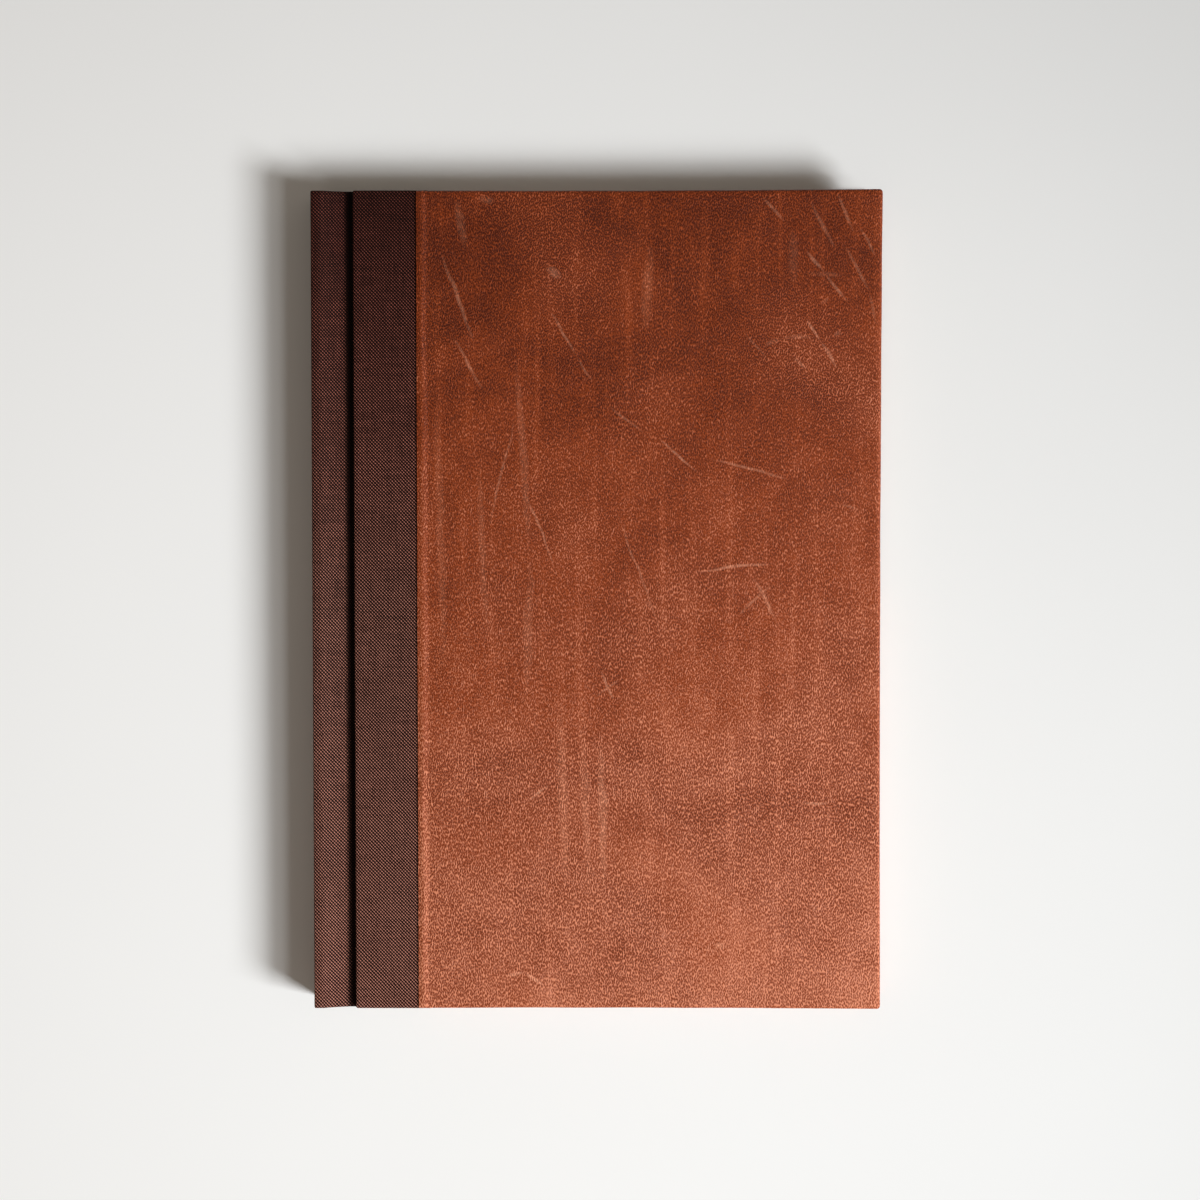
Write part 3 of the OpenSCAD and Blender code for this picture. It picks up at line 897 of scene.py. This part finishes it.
def leather_outlines(look):
    """Top and underside of the leather in X and Z, from its cut edge over the cloth to the middle of the
    fore-edge: a straight run with closer stations by the cut edge, and a quarter round."""
    radius = look.edge_radius
    near, far = X_LEATHER + 6 * MM, X_CASE - radius
    run = np.concatenate([np.linspace(X_LEATHER, near, 18)[:-1], np.linspace(near, far, 92)])
    turn = np.linspace(0, np.pi / 2, 6)[1:]
    x = np.concatenate([run, far + radius * np.sin(turn), [X_CASE]])
    top = np.concatenate([np.full(len(run), Z_LEATHER), Z_LEATHER - radius * (1 - np.cos(turn))])
    under = np.concatenate([np.full(len(run), Z_TURN), Z_TURN + radius * (1 - np.cos(turn))])
    middle = [(Z_LEATHER + Z_TURN) / 2]
    side = np.concatenate([np.zeros(len(run)), np.sin(turn), [1.0]])
    up = np.concatenate([np.ones(len(run)), np.cos(turn), [0.0]])
    over = np.stack([x, np.concatenate([top, middle])], 1), np.stack([side, up], 1)
    below = np.stack([x, np.concatenate([under, middle])], 1), np.stack([side, -up], 1)
    return over, below


def leather_relief(points, look, seed):
    """Lifts and shifts the leather by hand: a band that is higher over the cloth's edge, soft hollows on the
    face, and edges that bow inwards and waver. Every shift fades out over a few millimetres."""
    x, y, z = points[..., 0], points[..., 1], points[..., 2]
    on_top = smooth_step(z, (Z_LEATHER + Z_TURN) / 2, Z_LEATHER - 0.3 * MM)
    inset = X_LEATHER + look.ridge_width + 0.25 * MM * ripple(x, y, 22 * MM, seed)
    ridge = 1 - smooth_step(x, inset - 1.3 * MM, inset)
    crown = 0.2 + 0.8 * smooth_step(x, X_LEATHER, X_LEATHER + 1.1 * MM)
    hollows = 0.035 * MM * ripple(x, y, 16 * MM, seed + 1) + 0.018 * MM * ripple(x, y, 6 * MM, seed + 2)
    inner = smooth_step(np.minimum(X_CASE - x, Y_CASE - np.abs(y)), 0, 4 * MM)
    points[..., 2] += on_top * (look.ridge_height * ridge * crown + hollows * (0.3 + 0.7 * inner))
    waver = 0.05 * MM
    pull_x = look.bow * (1 - (y / Y_CASE) ** 2) + waver * (1 + ripple(y, 0 * y, 18 * MM, seed + 3)) / 2
    across = (x - X_OUT) / (X_CASE - X_OUT) * 2 - 1
    pull_y = look.bow * (1 - across**2) + waver * ripple(x, 0 * x, 20 * MM, seed + 4) / 2
    points[..., 0] -= pull_x * smooth_step(x, X_CASE - 12 * MM, X_CASE - 1 * MM)
    points[..., 1] -= np.sign(y) * pull_y * smooth_step(np.abs(y), Y_CASE - 12 * MM, Y_CASE - 1 * MM)
    return points


def leather_skin(side, look, seed):
    """The leather on one board: wrapped round three edges and turned in, with a window on the inside where
    the turn-ins stop, and given its thickness by a second, sunken surface."""
    over, under = leather_outlines(look)
    rows = np.linspace(-1, 1, 150)
    skins = []
    for sink in (0.0, look.thickness):
        points, on_under = wrap(over, under, Y_CASE, look.edge_radius, sink, rows)
        skins.append(leather_relief(points, look, seed))
    stations, ring = skins[0].shape[:2]
    faces = ring_faces(stations, ring)
    middle = skins[0].reshape(-1, 3)[faces].mean(2)
    below = on_under[faces[0, :, 0] % ring] & on_under[faces[0, :, 3] % ring]
    inside = (middle[..., 0] < X_CASE - TURN_IN) & (np.abs(middle[..., 1]) < Y_CASE - TURN_IN)
    window = below[None, :] & inside
    kept = shell_faces(faces[~window], stations * ring)
    both = np.concatenate([skin.reshape(-1, 3) for skin in skins])
    across = X_LEATHER + np.concatenate([[0], np.cumsum(np.linalg.norm(np.diff(over[0], axis=0), axis=1))])
    uv, lap = surface_lengths(skins[0], across, int(np.flatnonzero(on_under).mean()))
    return add_mesh(
        f"{side}_leather_skin",
        on_side(both, side),
        mirror_faces(kept, side),
        uv=np.concatenate([uv, uv]),
        lap=lap,
    )


class SKETCHBOOK_OT_leather(bpy.types.Operator):
    """Cover both boards with leather"""

    bl_idname = "sketchbook.leather"
    bl_label = "Leather Sides"

    def execute(self, context):
        look = context.scene.sketchbook_leather
        for side, seed, scratches in (("front", 11, FRONT_SCRATCHES), ("back", 47, BACK_SCRATCHES)):
            skin = leather_skin(side, look, seed)
            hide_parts(f"{side}_leather")
            material = leather_material(f"{side.title()} leather", look, scratches)
            dress(skin, material, f"{side}_cover")
        return {"FINISHED"}


# Book cloth over the spine


def groove_curve(x, look):
    """Height of the cloth in the joint: it falls by a power curve from the spine to the groove's floor,
    which is one layer of cloth above the underside of the board."""
    floor = Z_BOARD + high("front_board_cloth").z - high("front_board").z
    share = np.clip((x - X_SPINE_IN) / (X_WALL - look.groove_flat - X_SPINE_IN), 0, 1)
    return floor + (Z_CLOTH - floor) * (1 - share) ** look.groove_bend


def cloth_outlines(look):
    """Outside and inside of the cloth in X and Z, from the middle of the spine to its end under the leather.

    The outside goes up the spine, over its top, down the joint by groove_curve, up the edge of the board and
    along it. The inside keeps step with it: behind the spine board, under the joint, and under the board.
    Both are walked at the same distances and softened."""
    slope_x = np.linspace(X_SPINE_IN, X_WALL - look.groove_flat, 14)
    slope = np.stack([slope_x, groove_curve(slope_x, look)], 1)
    floor = slope[-1, 1]
    behind = X_SPINE_IN + 0.34 * MM
    doubled = 2 * look.thickness + 0.03 * MM
    under = Z_TURN + 0.05 * MM
    lowered = slope + left_normals(slope) * -doubled
    lowered[:, 0] = np.maximum(lowered[:, 0], behind)
    outside = [(X_OUT, 0), (X_OUT, Z_CLOTH), (X_SPINE_IN, Z_CLOTH), *slope[1:]]
    inside = [(behind, 0), (behind, 4.4 * MM), (behind, lowered[0, 1] - 0.25 * MM), *lowered[1:]]
    outside += [(X_WALL, floor), (X_WALL, Z_CLOTH), (X_CLOTH_END, Z_CLOTH)]
    inside += [(X_WALL + 0.15 * MM, floor - doubled), (X_WALL + 0.9 * MM, under), (X_CLOTH_END, under)]
    step = 0.04 * MM
    length = walk(outside, [0])[1]
    places = np.arange(0, length[-1], step)
    over = walk(outside, places)[0]
    below = np.stack([np.interp(places, length, np.array(inside)[:, axis]) for axis in (0, 1)], 1)
    over, below = soften(over, step, look.softness), soften(below, step, look.softness * 0.6)
    steep = np.abs(np.gradient(np.unwrap(np.arctan2(*left_normals(over).T)))) / step
    pace = np.cumsum(1 / np.clip(0.8 * MM / (1 + steep * 0.9 * MM), 0.12 * MM, None)) * step
    picked = np.searchsorted(pace, np.linspace(pace[0], pace[-1], int(pace[-1]) + 1))
    picked = np.unique(np.clip(picked, 0, len(over) - 1))
    outer = over[picked], left_normals(over)[picked]
    inner = below[picked], -left_normals(below)[picked]
    return outer, inner, places[picked]


def cloth_half(side, look, seed):
    """One half of the spine's cloth, from the middle of the spine to the leather. The thickness between the
    two outlines limits the rounding at the ends, so that the doubled cloth in the joint ends in a fold."""
    over, under, walked = cloth_outlines(look)
    apart = np.linalg.norm(over[0] - under[0], axis=1)
    radius = np.minimum(look.edge_radius, 0.48 * apart)
    rows = np.linspace(-1, 1, 120)
    skins = []
    for sink in (0.0, look.thickness):
        points, on_under = wrap(over, under, Y_CLOTH, radius, sink, rows)
        x, y = points[..., 0], points[..., 1]
        fixed = smooth_step(np.abs(x - X_LEATHER), 0, 3 * MM)
        points[..., 2] += 0.015 * MM * ripple(x, y, 14 * MM, seed) * fixed * (points[..., 2] > Z_PAGES)
        skins.append(points)
    stations, ring = skins[0].shape[:2]
    faces = ring_faces(stations, ring)
    middle = skins[0].reshape(-1, 3)[faces].mean(2)
    below = on_under[faces[0, :, 0] % ring] & on_under[faces[0, :, 3] % ring]
    window = below[None, :] & (np.abs(middle[..., 1]) < Y_CASE - TURN_IN)
    kept = shell_faces(faces[~window], stations * ring)
    both = np.concatenate([skin.reshape(-1, 3) for skin in skins])
    sign = 1 if side == "front" else -1
    uv, lap = surface_lengths(skins[0], sign * walked, int(np.flatnonzero(on_under).mean()))
    # Painted shade: a tone of 1 along the groove's floor by the board's wall, which the cloth's material
    # darkens
    painted_groove_shade = smooth_step(over[0][:, 0], X_WALL - 2.25 * MM, X_WALL - 1.75 * MM)
    painted_groove_shade *= 1 - smooth_step(over[0][:, 1], Z_CLOTH - 1.2 * MM, Z_CLOTH - 0.5 * MM)
    tone = np.tile(np.repeat(painted_groove_shade, ring), 2)
    piece = add_mesh(
        f"{side}_spine_cloth",
        on_side(both, side),
        mirror_faces(kept, side),
        uv=np.concatenate([uv, uv]),
        lap=lap,
        tone=tone,
    )
    return piece, walked[-1]


class SKETCHBOOK_OT_cloth(bpy.types.Operator):
    """Cover the spine and both joints with book cloth"""

    bl_idname = "sketchbook.cloth"
    bl_label = "Spine Cloth"

    def execute(self, context):
        look = context.scene.sketchbook_cloth
        material = cloth_material("Book cloth", look)
        for side, seed in (("front", 5), ("back", 8)):
            cloth, width = cloth_half(side, look, seed)
            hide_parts("spine_cloth", f"{side}_joint_cloth", f"{side}_board_cloth")
            dress(cloth, material, "text_block", f"{side}_cover")
        return {"FINISHED"}


# Text block


def folded_sheet(outer, thickness, look, seed):
    """One folded sheet, with its fold at the spine: along the lower leaf from the fore-edge, round a half
    circle of radius outer, and back along the upper leaf, as a closed solid. The leaves waver a little
    towards the fore-edge and their cut edges differ by a few hundredths of a millimetre."""
    stations = 9
    draw = np.random.default_rng(seed)
    centre = X_FOLD + Z_PAGES / look.sections
    ends = X_PAGE - draw.uniform(0, 0.12 * MM, 2)
    lower = np.linspace(ends[0], centre, stations)
    upper = np.linspace(centre, ends[1], stations)
    turn = np.linspace(-np.pi / 2, -3 * np.pi / 2, 13)[1:-1]
    middle = outer - thickness / 2
    x = np.concatenate([lower, centre + middle * np.cos(turn), upper])
    z = np.concatenate([np.full(stations, -middle), middle * np.sin(turn), np.full(stations, middle)])
    down, up = np.tile([0, -1], (stations, 1)), np.tile([0, 1], (stations, 1))
    normal = np.concatenate([down, np.stack([np.cos(turn), np.sin(turn)], 1), up])
    line = np.stack([x, z], 1)
    over = line + normal * thickness / 2, normal
    under = line - normal * thickness / 2, -normal
    half = Y_PAGE - draw.uniform(0, 0.06 * MM)
    points, _ = wrap(over, under, half, 0.03 * MM, 0.0, np.linspace(-1, 1, 16), 1, 1)
    loose = smooth_step(points[..., 0], X_PAGE - 60 * MM, X_PAGE)
    points[..., 2] += look.cockle * ripple(points[..., 0], points[..., 1], 45 * MM, seed) * loose
    return points


def text_block(look):
    """All the folded sheets of the block in one mesh, section over section, with a tone for each sheet."""
    step = Z_PAGES / (look.sections * look.section_sheets)
    thickness = step - look.air
    points, faces, tones = [], [], []
    for section in range(look.sections):
        height = Z_PAGES * ((2 * section + 1) / look.sections - 1)
        for sheet in range(look.section_sheets):
            seed = 100 + section * look.section_sheets + sheet
            grid = folded_sheet(Z_PAGES / look.sections - sheet * step - look.air / 2, thickness, look, seed)
            grid[..., 2] += height
            stations, ring = grid.shape[:2]
            faces.append(tube_faces(stations, ring) + sum(len(done) for done in points))
            points.append(grid.reshape(-1, 3))
            shade = np.random.default_rng(seed).uniform(0, 0.3) + (0.35 if sheet == 0 else 0.0)
            tones.append(np.full(stations * ring, shade))
    return add_mesh(
        "leaves",
        on_side(np.concatenate(points), "front"),
        np.concatenate(faces),
        tone=np.concatenate(tones),
        sharp=35,
    )


class SKETCHBOOK_OT_leaves(bpy.types.Operator):
    """Fold and stack the leaves of the text block"""

    bl_idname = "sketchbook.leaves"
    bl_label = "Leaves"

    def execute(self, context):
        look = context.scene.sketchbook_paper
        leaves = text_block(look)
        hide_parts("page_block")
        paper = paper_material("Drawing paper", look.leaf_colour, fleck=0.15, toned=True)
        dress(leaves, paper, "text_block")
        return {"FINISHED"}


# Endpapers and the linings of the joints


def level_line(x, height):
    """A line of points in X and Z that are all at one height."""
    return np.stack([x, np.full(len(x), height)], 1)


def flat_strip(name, side, outline, thickness, half, rows, wave=0.0, seed=0):
    """A thin closed strip: outline is its lower side in X and Z, and its upper side lies thickness above it,
    along the left normals. wave lifts it by a gentle ripple."""
    normal = left_normals(outline)
    over, under = (outline + normal * thickness, normal), (outline, -normal)
    points, _ = wrap(over, under, half, 0.04 * MM, 0.0, np.linspace(-1, 1, rows), arc_steps=1, cap_steps=1)
    points[..., 2] += wave * ripple(points[..., 0], points[..., 1], 38 * MM, seed)
    faces = tube_faces(*points.shape[:2])
    return add_mesh(name, on_side(points, side), mirror_faces(faces, side), sharp=35)


class SKETCHBOOK_OT_endpapers(bpy.types.Operator):
    """Lay the flyleaves and paste down the endpapers across both joints"""

    bl_idname = "sketchbook.endpapers"
    bl_label = "Endpapers"

    def execute(self, context):
        look = context.scene.sketchbook_paper
        paper = paper_material("Endpaper", look.endpaper_colour, fleck=0.7)
        mull = linen_material("Hinge mull", (0.62, 0.54, 0.40), pitch=0.5 * MM, gap=0.6)
        air = 0.012 * MM
        wave = 0.012 * MM
        page = np.linspace(X_FOLD, X_PAGE, 60)
        joint = np.linspace(X_FOLD, X_BOARD, 70)
        pasted = np.concatenate([joint[:-1], np.linspace(X_BOARD, X_PAGE, 60)])
        for side in ("front", "back"):
            cover = f"{side}_cover"
            leaf = flat_strip(
                f"{side}_loose_leaf",
                side,
                level_line(page, Z_PAGES + air),
                thickness=Z_FLYLEAF - Z_PAGES - 2 * air,
                half=Y_PAGE,
                rows=60,
                wave=wave,
                seed=3,
            )
            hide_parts(f"{side}_flyleaf")
            dress(leaf, paper, "text_block")

            sheet = flat_strip(
                f"{side}_pasted_leaf",
                side,
                level_line(pasted, Z_PASTE),
                thickness=Z_TURN - Z_PASTE,
                half=Y_PAGE,
                rows=60,
            )
            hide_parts(f"{side}_pastedown", f"{side}_endpaper_hinge")
            dress(sheet, paper, "text_block", cover)

            lining = flat_strip(
                f"{side}_mull_hinge",
                side,
                level_line(joint, Z_TURN + air),
                thickness=Z_BOARD - Z_TURN - 2 * air,
                half=high("front_hinge_lining").y,
                rows=40,
            )
            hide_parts(f"{side}_hinge_lining")
            dress(lining, mull, "text_block", cover)
        return {"FINISHED"}


# Sewing, linings, boards and headbands


def wound_band(node):
    """A headband: a core along Z wound with thread. Its radius is that of the core, and swells over each turn
    of thread by the absolute sine of the distance along it, with a slant round the core."""
    lowest, highest = low(node), high(node)
    head = 1 if highest.y > 0 else -1
    radius = (highest.x - lowest.x) / 2
    centre = np.array([lowest.x + radius, head * (max(abs(highest.y), abs(lowest.y)) - radius)])
    clear, pitch, taper = 0.1 * MM, 0.52 * MM, 0.5 * MM
    core, thread, end_share = 0.84, 0.16, 0.55
    turns_of_one_colour = 3
    z = np.linspace(lowest.z + clear, highest.z - clear, 130)
    angle = np.linspace(0, 2 * np.pi, 24, endpoint=False)
    turns = z[:, None] / pitch + angle[None, :] / (2 * np.pi)
    swell = radius * (core + thread * np.abs(np.sin(np.pi * turns)))
    swell *= np.minimum(1, end_share + np.minimum(z - z[0], z[-1] - z)[:, None] / taper)
    x = centre[0] + swell * np.cos(angle)
    y = centre[1] + swell * np.sin(angle)
    points = np.stack(np.broadcast_arrays(x, y, z[:, None]), -1)
    tone = (np.floor(turns + 0.5) // turns_of_one_colour) % 2
    return add_mesh(f"{node}_bead", points, tube_faces(*points.shape[:2]), tone=tone, sharp=80)


def headband_material(look):
    """Two threads wound in turn, three turns of each: dark brown and undyed."""
    shade, light = (0.50, 0.42, 0.30), (0.72, 0.64, 0.50)
    finish = {"Roughness": 0.5, "Sheen Weight": 0.2}
    material, nodes, shader = new_material("Headband silk", look.colour, finish)
    fine = nodes.remap(nodes.noise(nodes.place(), scale=6000.0, detail=2.0, roughness=0.6), 0.3, 0.7)
    brown = nodes.mix(fine, look.dark, look.colour)
    undyed = nodes.mix(fine, shade, light)
    nodes.put(shader.inputs["Base Color"], nodes.mix(nodes.remap(nodes.tone(), 0.45, 0.55), brown, undyed))
    return material


class SKETCHBOOK_OT_sewing(bpy.types.Operator):
    """Finish the sewing, the spine linings and the boards, and wind the headbands"""

    bl_idname = "sketchbook.sewing"
    bl_label = "Sewing, Linings and Boards"

    def execute(self, context):
        tape = linen_material("Linen tape", (0.60, 0.52, 0.38), pitch=0.42 * MM, gap=0.35)
        thread = linen_material("Waxed thread", (0.66, 0.58, 0.44), pitch=0.22 * MM, gap=0.45)
        mull = linen_material("Mull", (0.66, 0.60, 0.48), pitch=0.7 * MM, gap=0.8)
        kraft = paper_material("Kraft paper", (0.42, 0.27, 0.14), fleck=0.5)
        board = board_material()
        finishes = [
            (tape, ["sewing_tapes", "front_tape_slips", "back_tape_slips"]),
            (thread, ["sewing_thread"]),
            (mull, ["spine_mull", "front_mull_flange", "back_mull_flange"]),
            (kraft, ["spine_lining_paper"]),
            (board, ["spine_board", "front_board", "back_board", "front_infill_card", "back_infill_card"]),
        ]
        for material, nodes in finishes:
            for node in nodes:
                dress_node(node, material)
        silk = headband_material(context.scene.sketchbook_cloth)
        for node in ("head_headband", "tail_headband"):
            band = wound_band(node)
            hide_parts(node)
            dress(band, silk, "text_block")
        return {"FINISHED"}


# Table, lights and camera

DAYLIGHT = (0.965, 0.99, 1.0)


def seen_directly(nodes):
    """1 for a ray from the camera, from a mirror or through glass, and 0 for light that spreads."""
    path = nodes.add("ShaderNodeLightPath").outputs
    seen = nodes.math("MAXIMUM", path["Is Camera Ray"], path["Is Glossy Ray"])
    return nodes.math("MAXIMUM", seen, path["Is Transmission Ray"])


def hang_camera(scene, look):
    """The camera over the book, a little off straight down."""
    camera = bpy.data.objects.new("camera", bpy.data.cameras.new("camera"))
    camera.data.sensor_fit = "HORIZONTAL"
    camera.data.angle = look.view_angle
    camera.location = look.camera_place
    camera.rotation_euler = look.camera_turn
    camera.data.clip_start = 0.01
    scene.collection.objects.link(camera)
    scene.camera = camera


def hang_lamps(scene, look):
    """Two square lights that stand for one window. They differ in height, power and size, and are aimed at
    the book."""
    for part, height, power, size in (
        ("low", look.low_height, look.low_power, look.low_size),
        ("high", look.high_height, look.high_power, look.high_size),
    ):
        lamp = bpy.data.objects.new(f"{part}_window", bpy.data.lights.new(f"{part}_window", "AREA"))
        lamp.data.energy = power
        lamp.data.size = size
        lamp.data.color = DAYLIGHT
        flat = look.lamp_distance * math.cos(height)
        lamp.location = (
            flat * math.cos(look.lamp_direction),
            flat * math.sin(look.lamp_direction),
            look.lamp_distance * math.sin(height),
        )
        lamp.rotation_euler = (-lamp.location).to_track_quat("-Z", "Y").to_euler()
        scene.collection.objects.link(lamp)


def paint_room(scene, look):
    """The room: dim warm light from all round, and a pale horizon where it is seen directly."""
    world = bpy.data.worlds.new("room")
    world.use_nodes = True
    nodes = Nodes(world.node_tree)
    direction = nodes.add("ShaderNodeTexCoord").outputs["Generated"]
    low_down = nodes.remap(nodes.split(direction)["Z"], 0.25, 0.60, 1.0, 0.0, smooth=True)
    horizon = nodes.math("MULTIPLY", low_down, seen_directly(nodes))
    dim = tuple(look.fill * part for part in look.fill_colour)
    backdrop = world.node_tree.nodes["Background"]
    nodes.put(backdrop.inputs["Color"], nodes.mix(horizon, dim, look.horizon_colour))
    scene.world = world


def table_material(look):
    """A matte sheet whose colour holds painted light and shade: a little darker towards the lamps and towards
    the corners, and a little lighter towards the tail. Beyond near_edge it passes into the colour of the
    horizon."""
    finish = {"Roughness": 0.9, "Specular IOR Level": 0.2}
    material, nodes, shader = new_material("Table", look.table_colour, finish)
    near = 0.18
    fall_x, fall_y, fall_away, cloudy = -0.95, -0.25, -1.8, 0.03
    near_edge, far_edge = 0.235, 0.43
    place = nodes.place()
    parts = nodes.split(place)
    # Painted light and shade: darker towards +X on the lamps' side, lighter towards the tail, and darker
    # towards the corners
    x, y = (nodes.remap(parts[axis], -near, near, -near, near) for axis in ("X", "Y"))
    shade = nodes.math("MULTIPLY_ADD", x, fall_x, nodes.math("MULTIPLY_ADD", y, fall_y, 1.0))
    squares = nodes.math("MULTIPLY_ADD", x, x, nodes.math("MULTIPLY", y, y))
    shade = nodes.math("MULTIPLY_ADD", squares, fall_away, shade)
    shade = nodes.math("MULTIPLY_ADD", nodes.noise(place, scale=9.0, detail=2.0), cloudy, shade)
    grey = nodes.add("ShaderNodeCombineColor", {0: shade, 1: shade, 2: shade}).outputs[0]
    nodes.put(shader.inputs["Base Color"], nodes.mix(1.0, look.table_colour, grey, blend="MULTIPLY"))
    away = nodes.remap(nodes.vector("LENGTH", place), near_edge, far_edge, smooth=True)
    share = nodes.math("MULTIPLY", away, seen_directly(nodes))
    pale = nodes.add("ShaderNodeEmission", {"Color": (*look.horizon_colour, 1)})
    both = nodes.add("ShaderNodeMixShader", {0: share, 1: shader.outputs[0], 2: pale.outputs[0]})
    nodes.put(material.node_tree.nodes["Material Output"].inputs["Surface"], both.outputs[0])
    return material


def lay_table(scene, look):
    """A wide table whose top is at height 0."""
    reach = 40.0
    corners = [(-reach, -reach, 0), (reach, -reach, 0), (reach, reach, 0), (-reach, reach, 0)]
    mesh = bpy.data.meshes.new("table")
    mesh.from_pydata(corners, [], [(0, 1, 2, 3)])
    table = bpy.data.objects.new("table", mesh)
    scene.collection.objects.link(table)
    table.data.materials.append(table_material(look))


class SKETCHBOOK_OT_stage(bpy.types.Operator):
    """Set up the table, the window light and the camera"""

    bl_idname = "sketchbook.stage"
    bl_label = "Table, Light and Camera"

    def execute(self, context):
        scene, look = context.scene, context.scene.sketchbook_stage
        scene.view_settings.view_transform = "Standard"
        hang_camera(scene, look)
        hang_lamps(scene, look)
        paint_room(scene, look)
        lay_table(scene, look)
        return {"FINISHED"}


class SKETCHBOOK_PT_panel(bpy.types.Panel):
    """Steps that make the sketchbook"""

    bl_label = "Sketchbook"
    bl_idname = "SKETCHBOOK_PT_panel"
    bl_space_type = "VIEW_3D"
    bl_region_type = "UI"
    bl_category = "Sketchbook"

    def draw(self, context):
        for operator in OPERATORS:
            self.layout.operator(operator.bl_idname, text=operator.bl_label)
        for name, group in GROUP_PROPERTIES.items():
            box = self.layout.box()
            box.label(text=group.__doc__)
            for key in group.__annotations__:
                box.prop(getattr(context.scene, name), key)


OPERATORS = (
    SKETCHBOOK_OT_stage,
    SKETCHBOOK_OT_leather,
    SKETCHBOOK_OT_cloth,
    SKETCHBOOK_OT_leaves,
    SKETCHBOOK_OT_endpapers,
    SKETCHBOOK_OT_sewing,
)
GROUP_PROPERTIES = {
    "sketchbook_stage": SKETCHBOOK_PG_stage,
    "sketchbook_leather": SKETCHBOOK_PG_leather,
    "sketchbook_cloth": SKETCHBOOK_PG_cloth,
    "sketchbook_paper": SKETCHBOOK_PG_paper,
}


def register():
    for group in GROUP_PROPERTIES.values():
        bpy.utils.register_class(group)
    for operator in OPERATORS:
        bpy.utils.register_class(operator)
    bpy.utils.register_class(SKETCHBOOK_PT_panel)
    for name, group in GROUP_PROPERTIES.items():
        setattr(bpy.types.Scene, name, bpy.props.PointerProperty(type=group))


def unregister():
    for name in GROUP_PROPERTIES:
        delattr(bpy.types.Scene, name)
    bpy.utils.unregister_class(SKETCHBOOK_PT_panel)
    for operator in reversed(OPERATORS):
        bpy.utils.unregister_class(operator)
    for group in GROUP_PROPERTIES.values():
        bpy.utils.unregister_class(group)


def main():
    register()
    bpy.ops.sketchbook.stage()
    bpy.ops.sketchbook.leather()
    bpy.ops.sketchbook.cloth()
    bpy.ops.sketchbook.leaves()
    bpy.ops.sketchbook.endpapers()
    bpy.ops.sketchbook.sewing()
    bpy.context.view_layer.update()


if __name__ == "__main__":
    main()
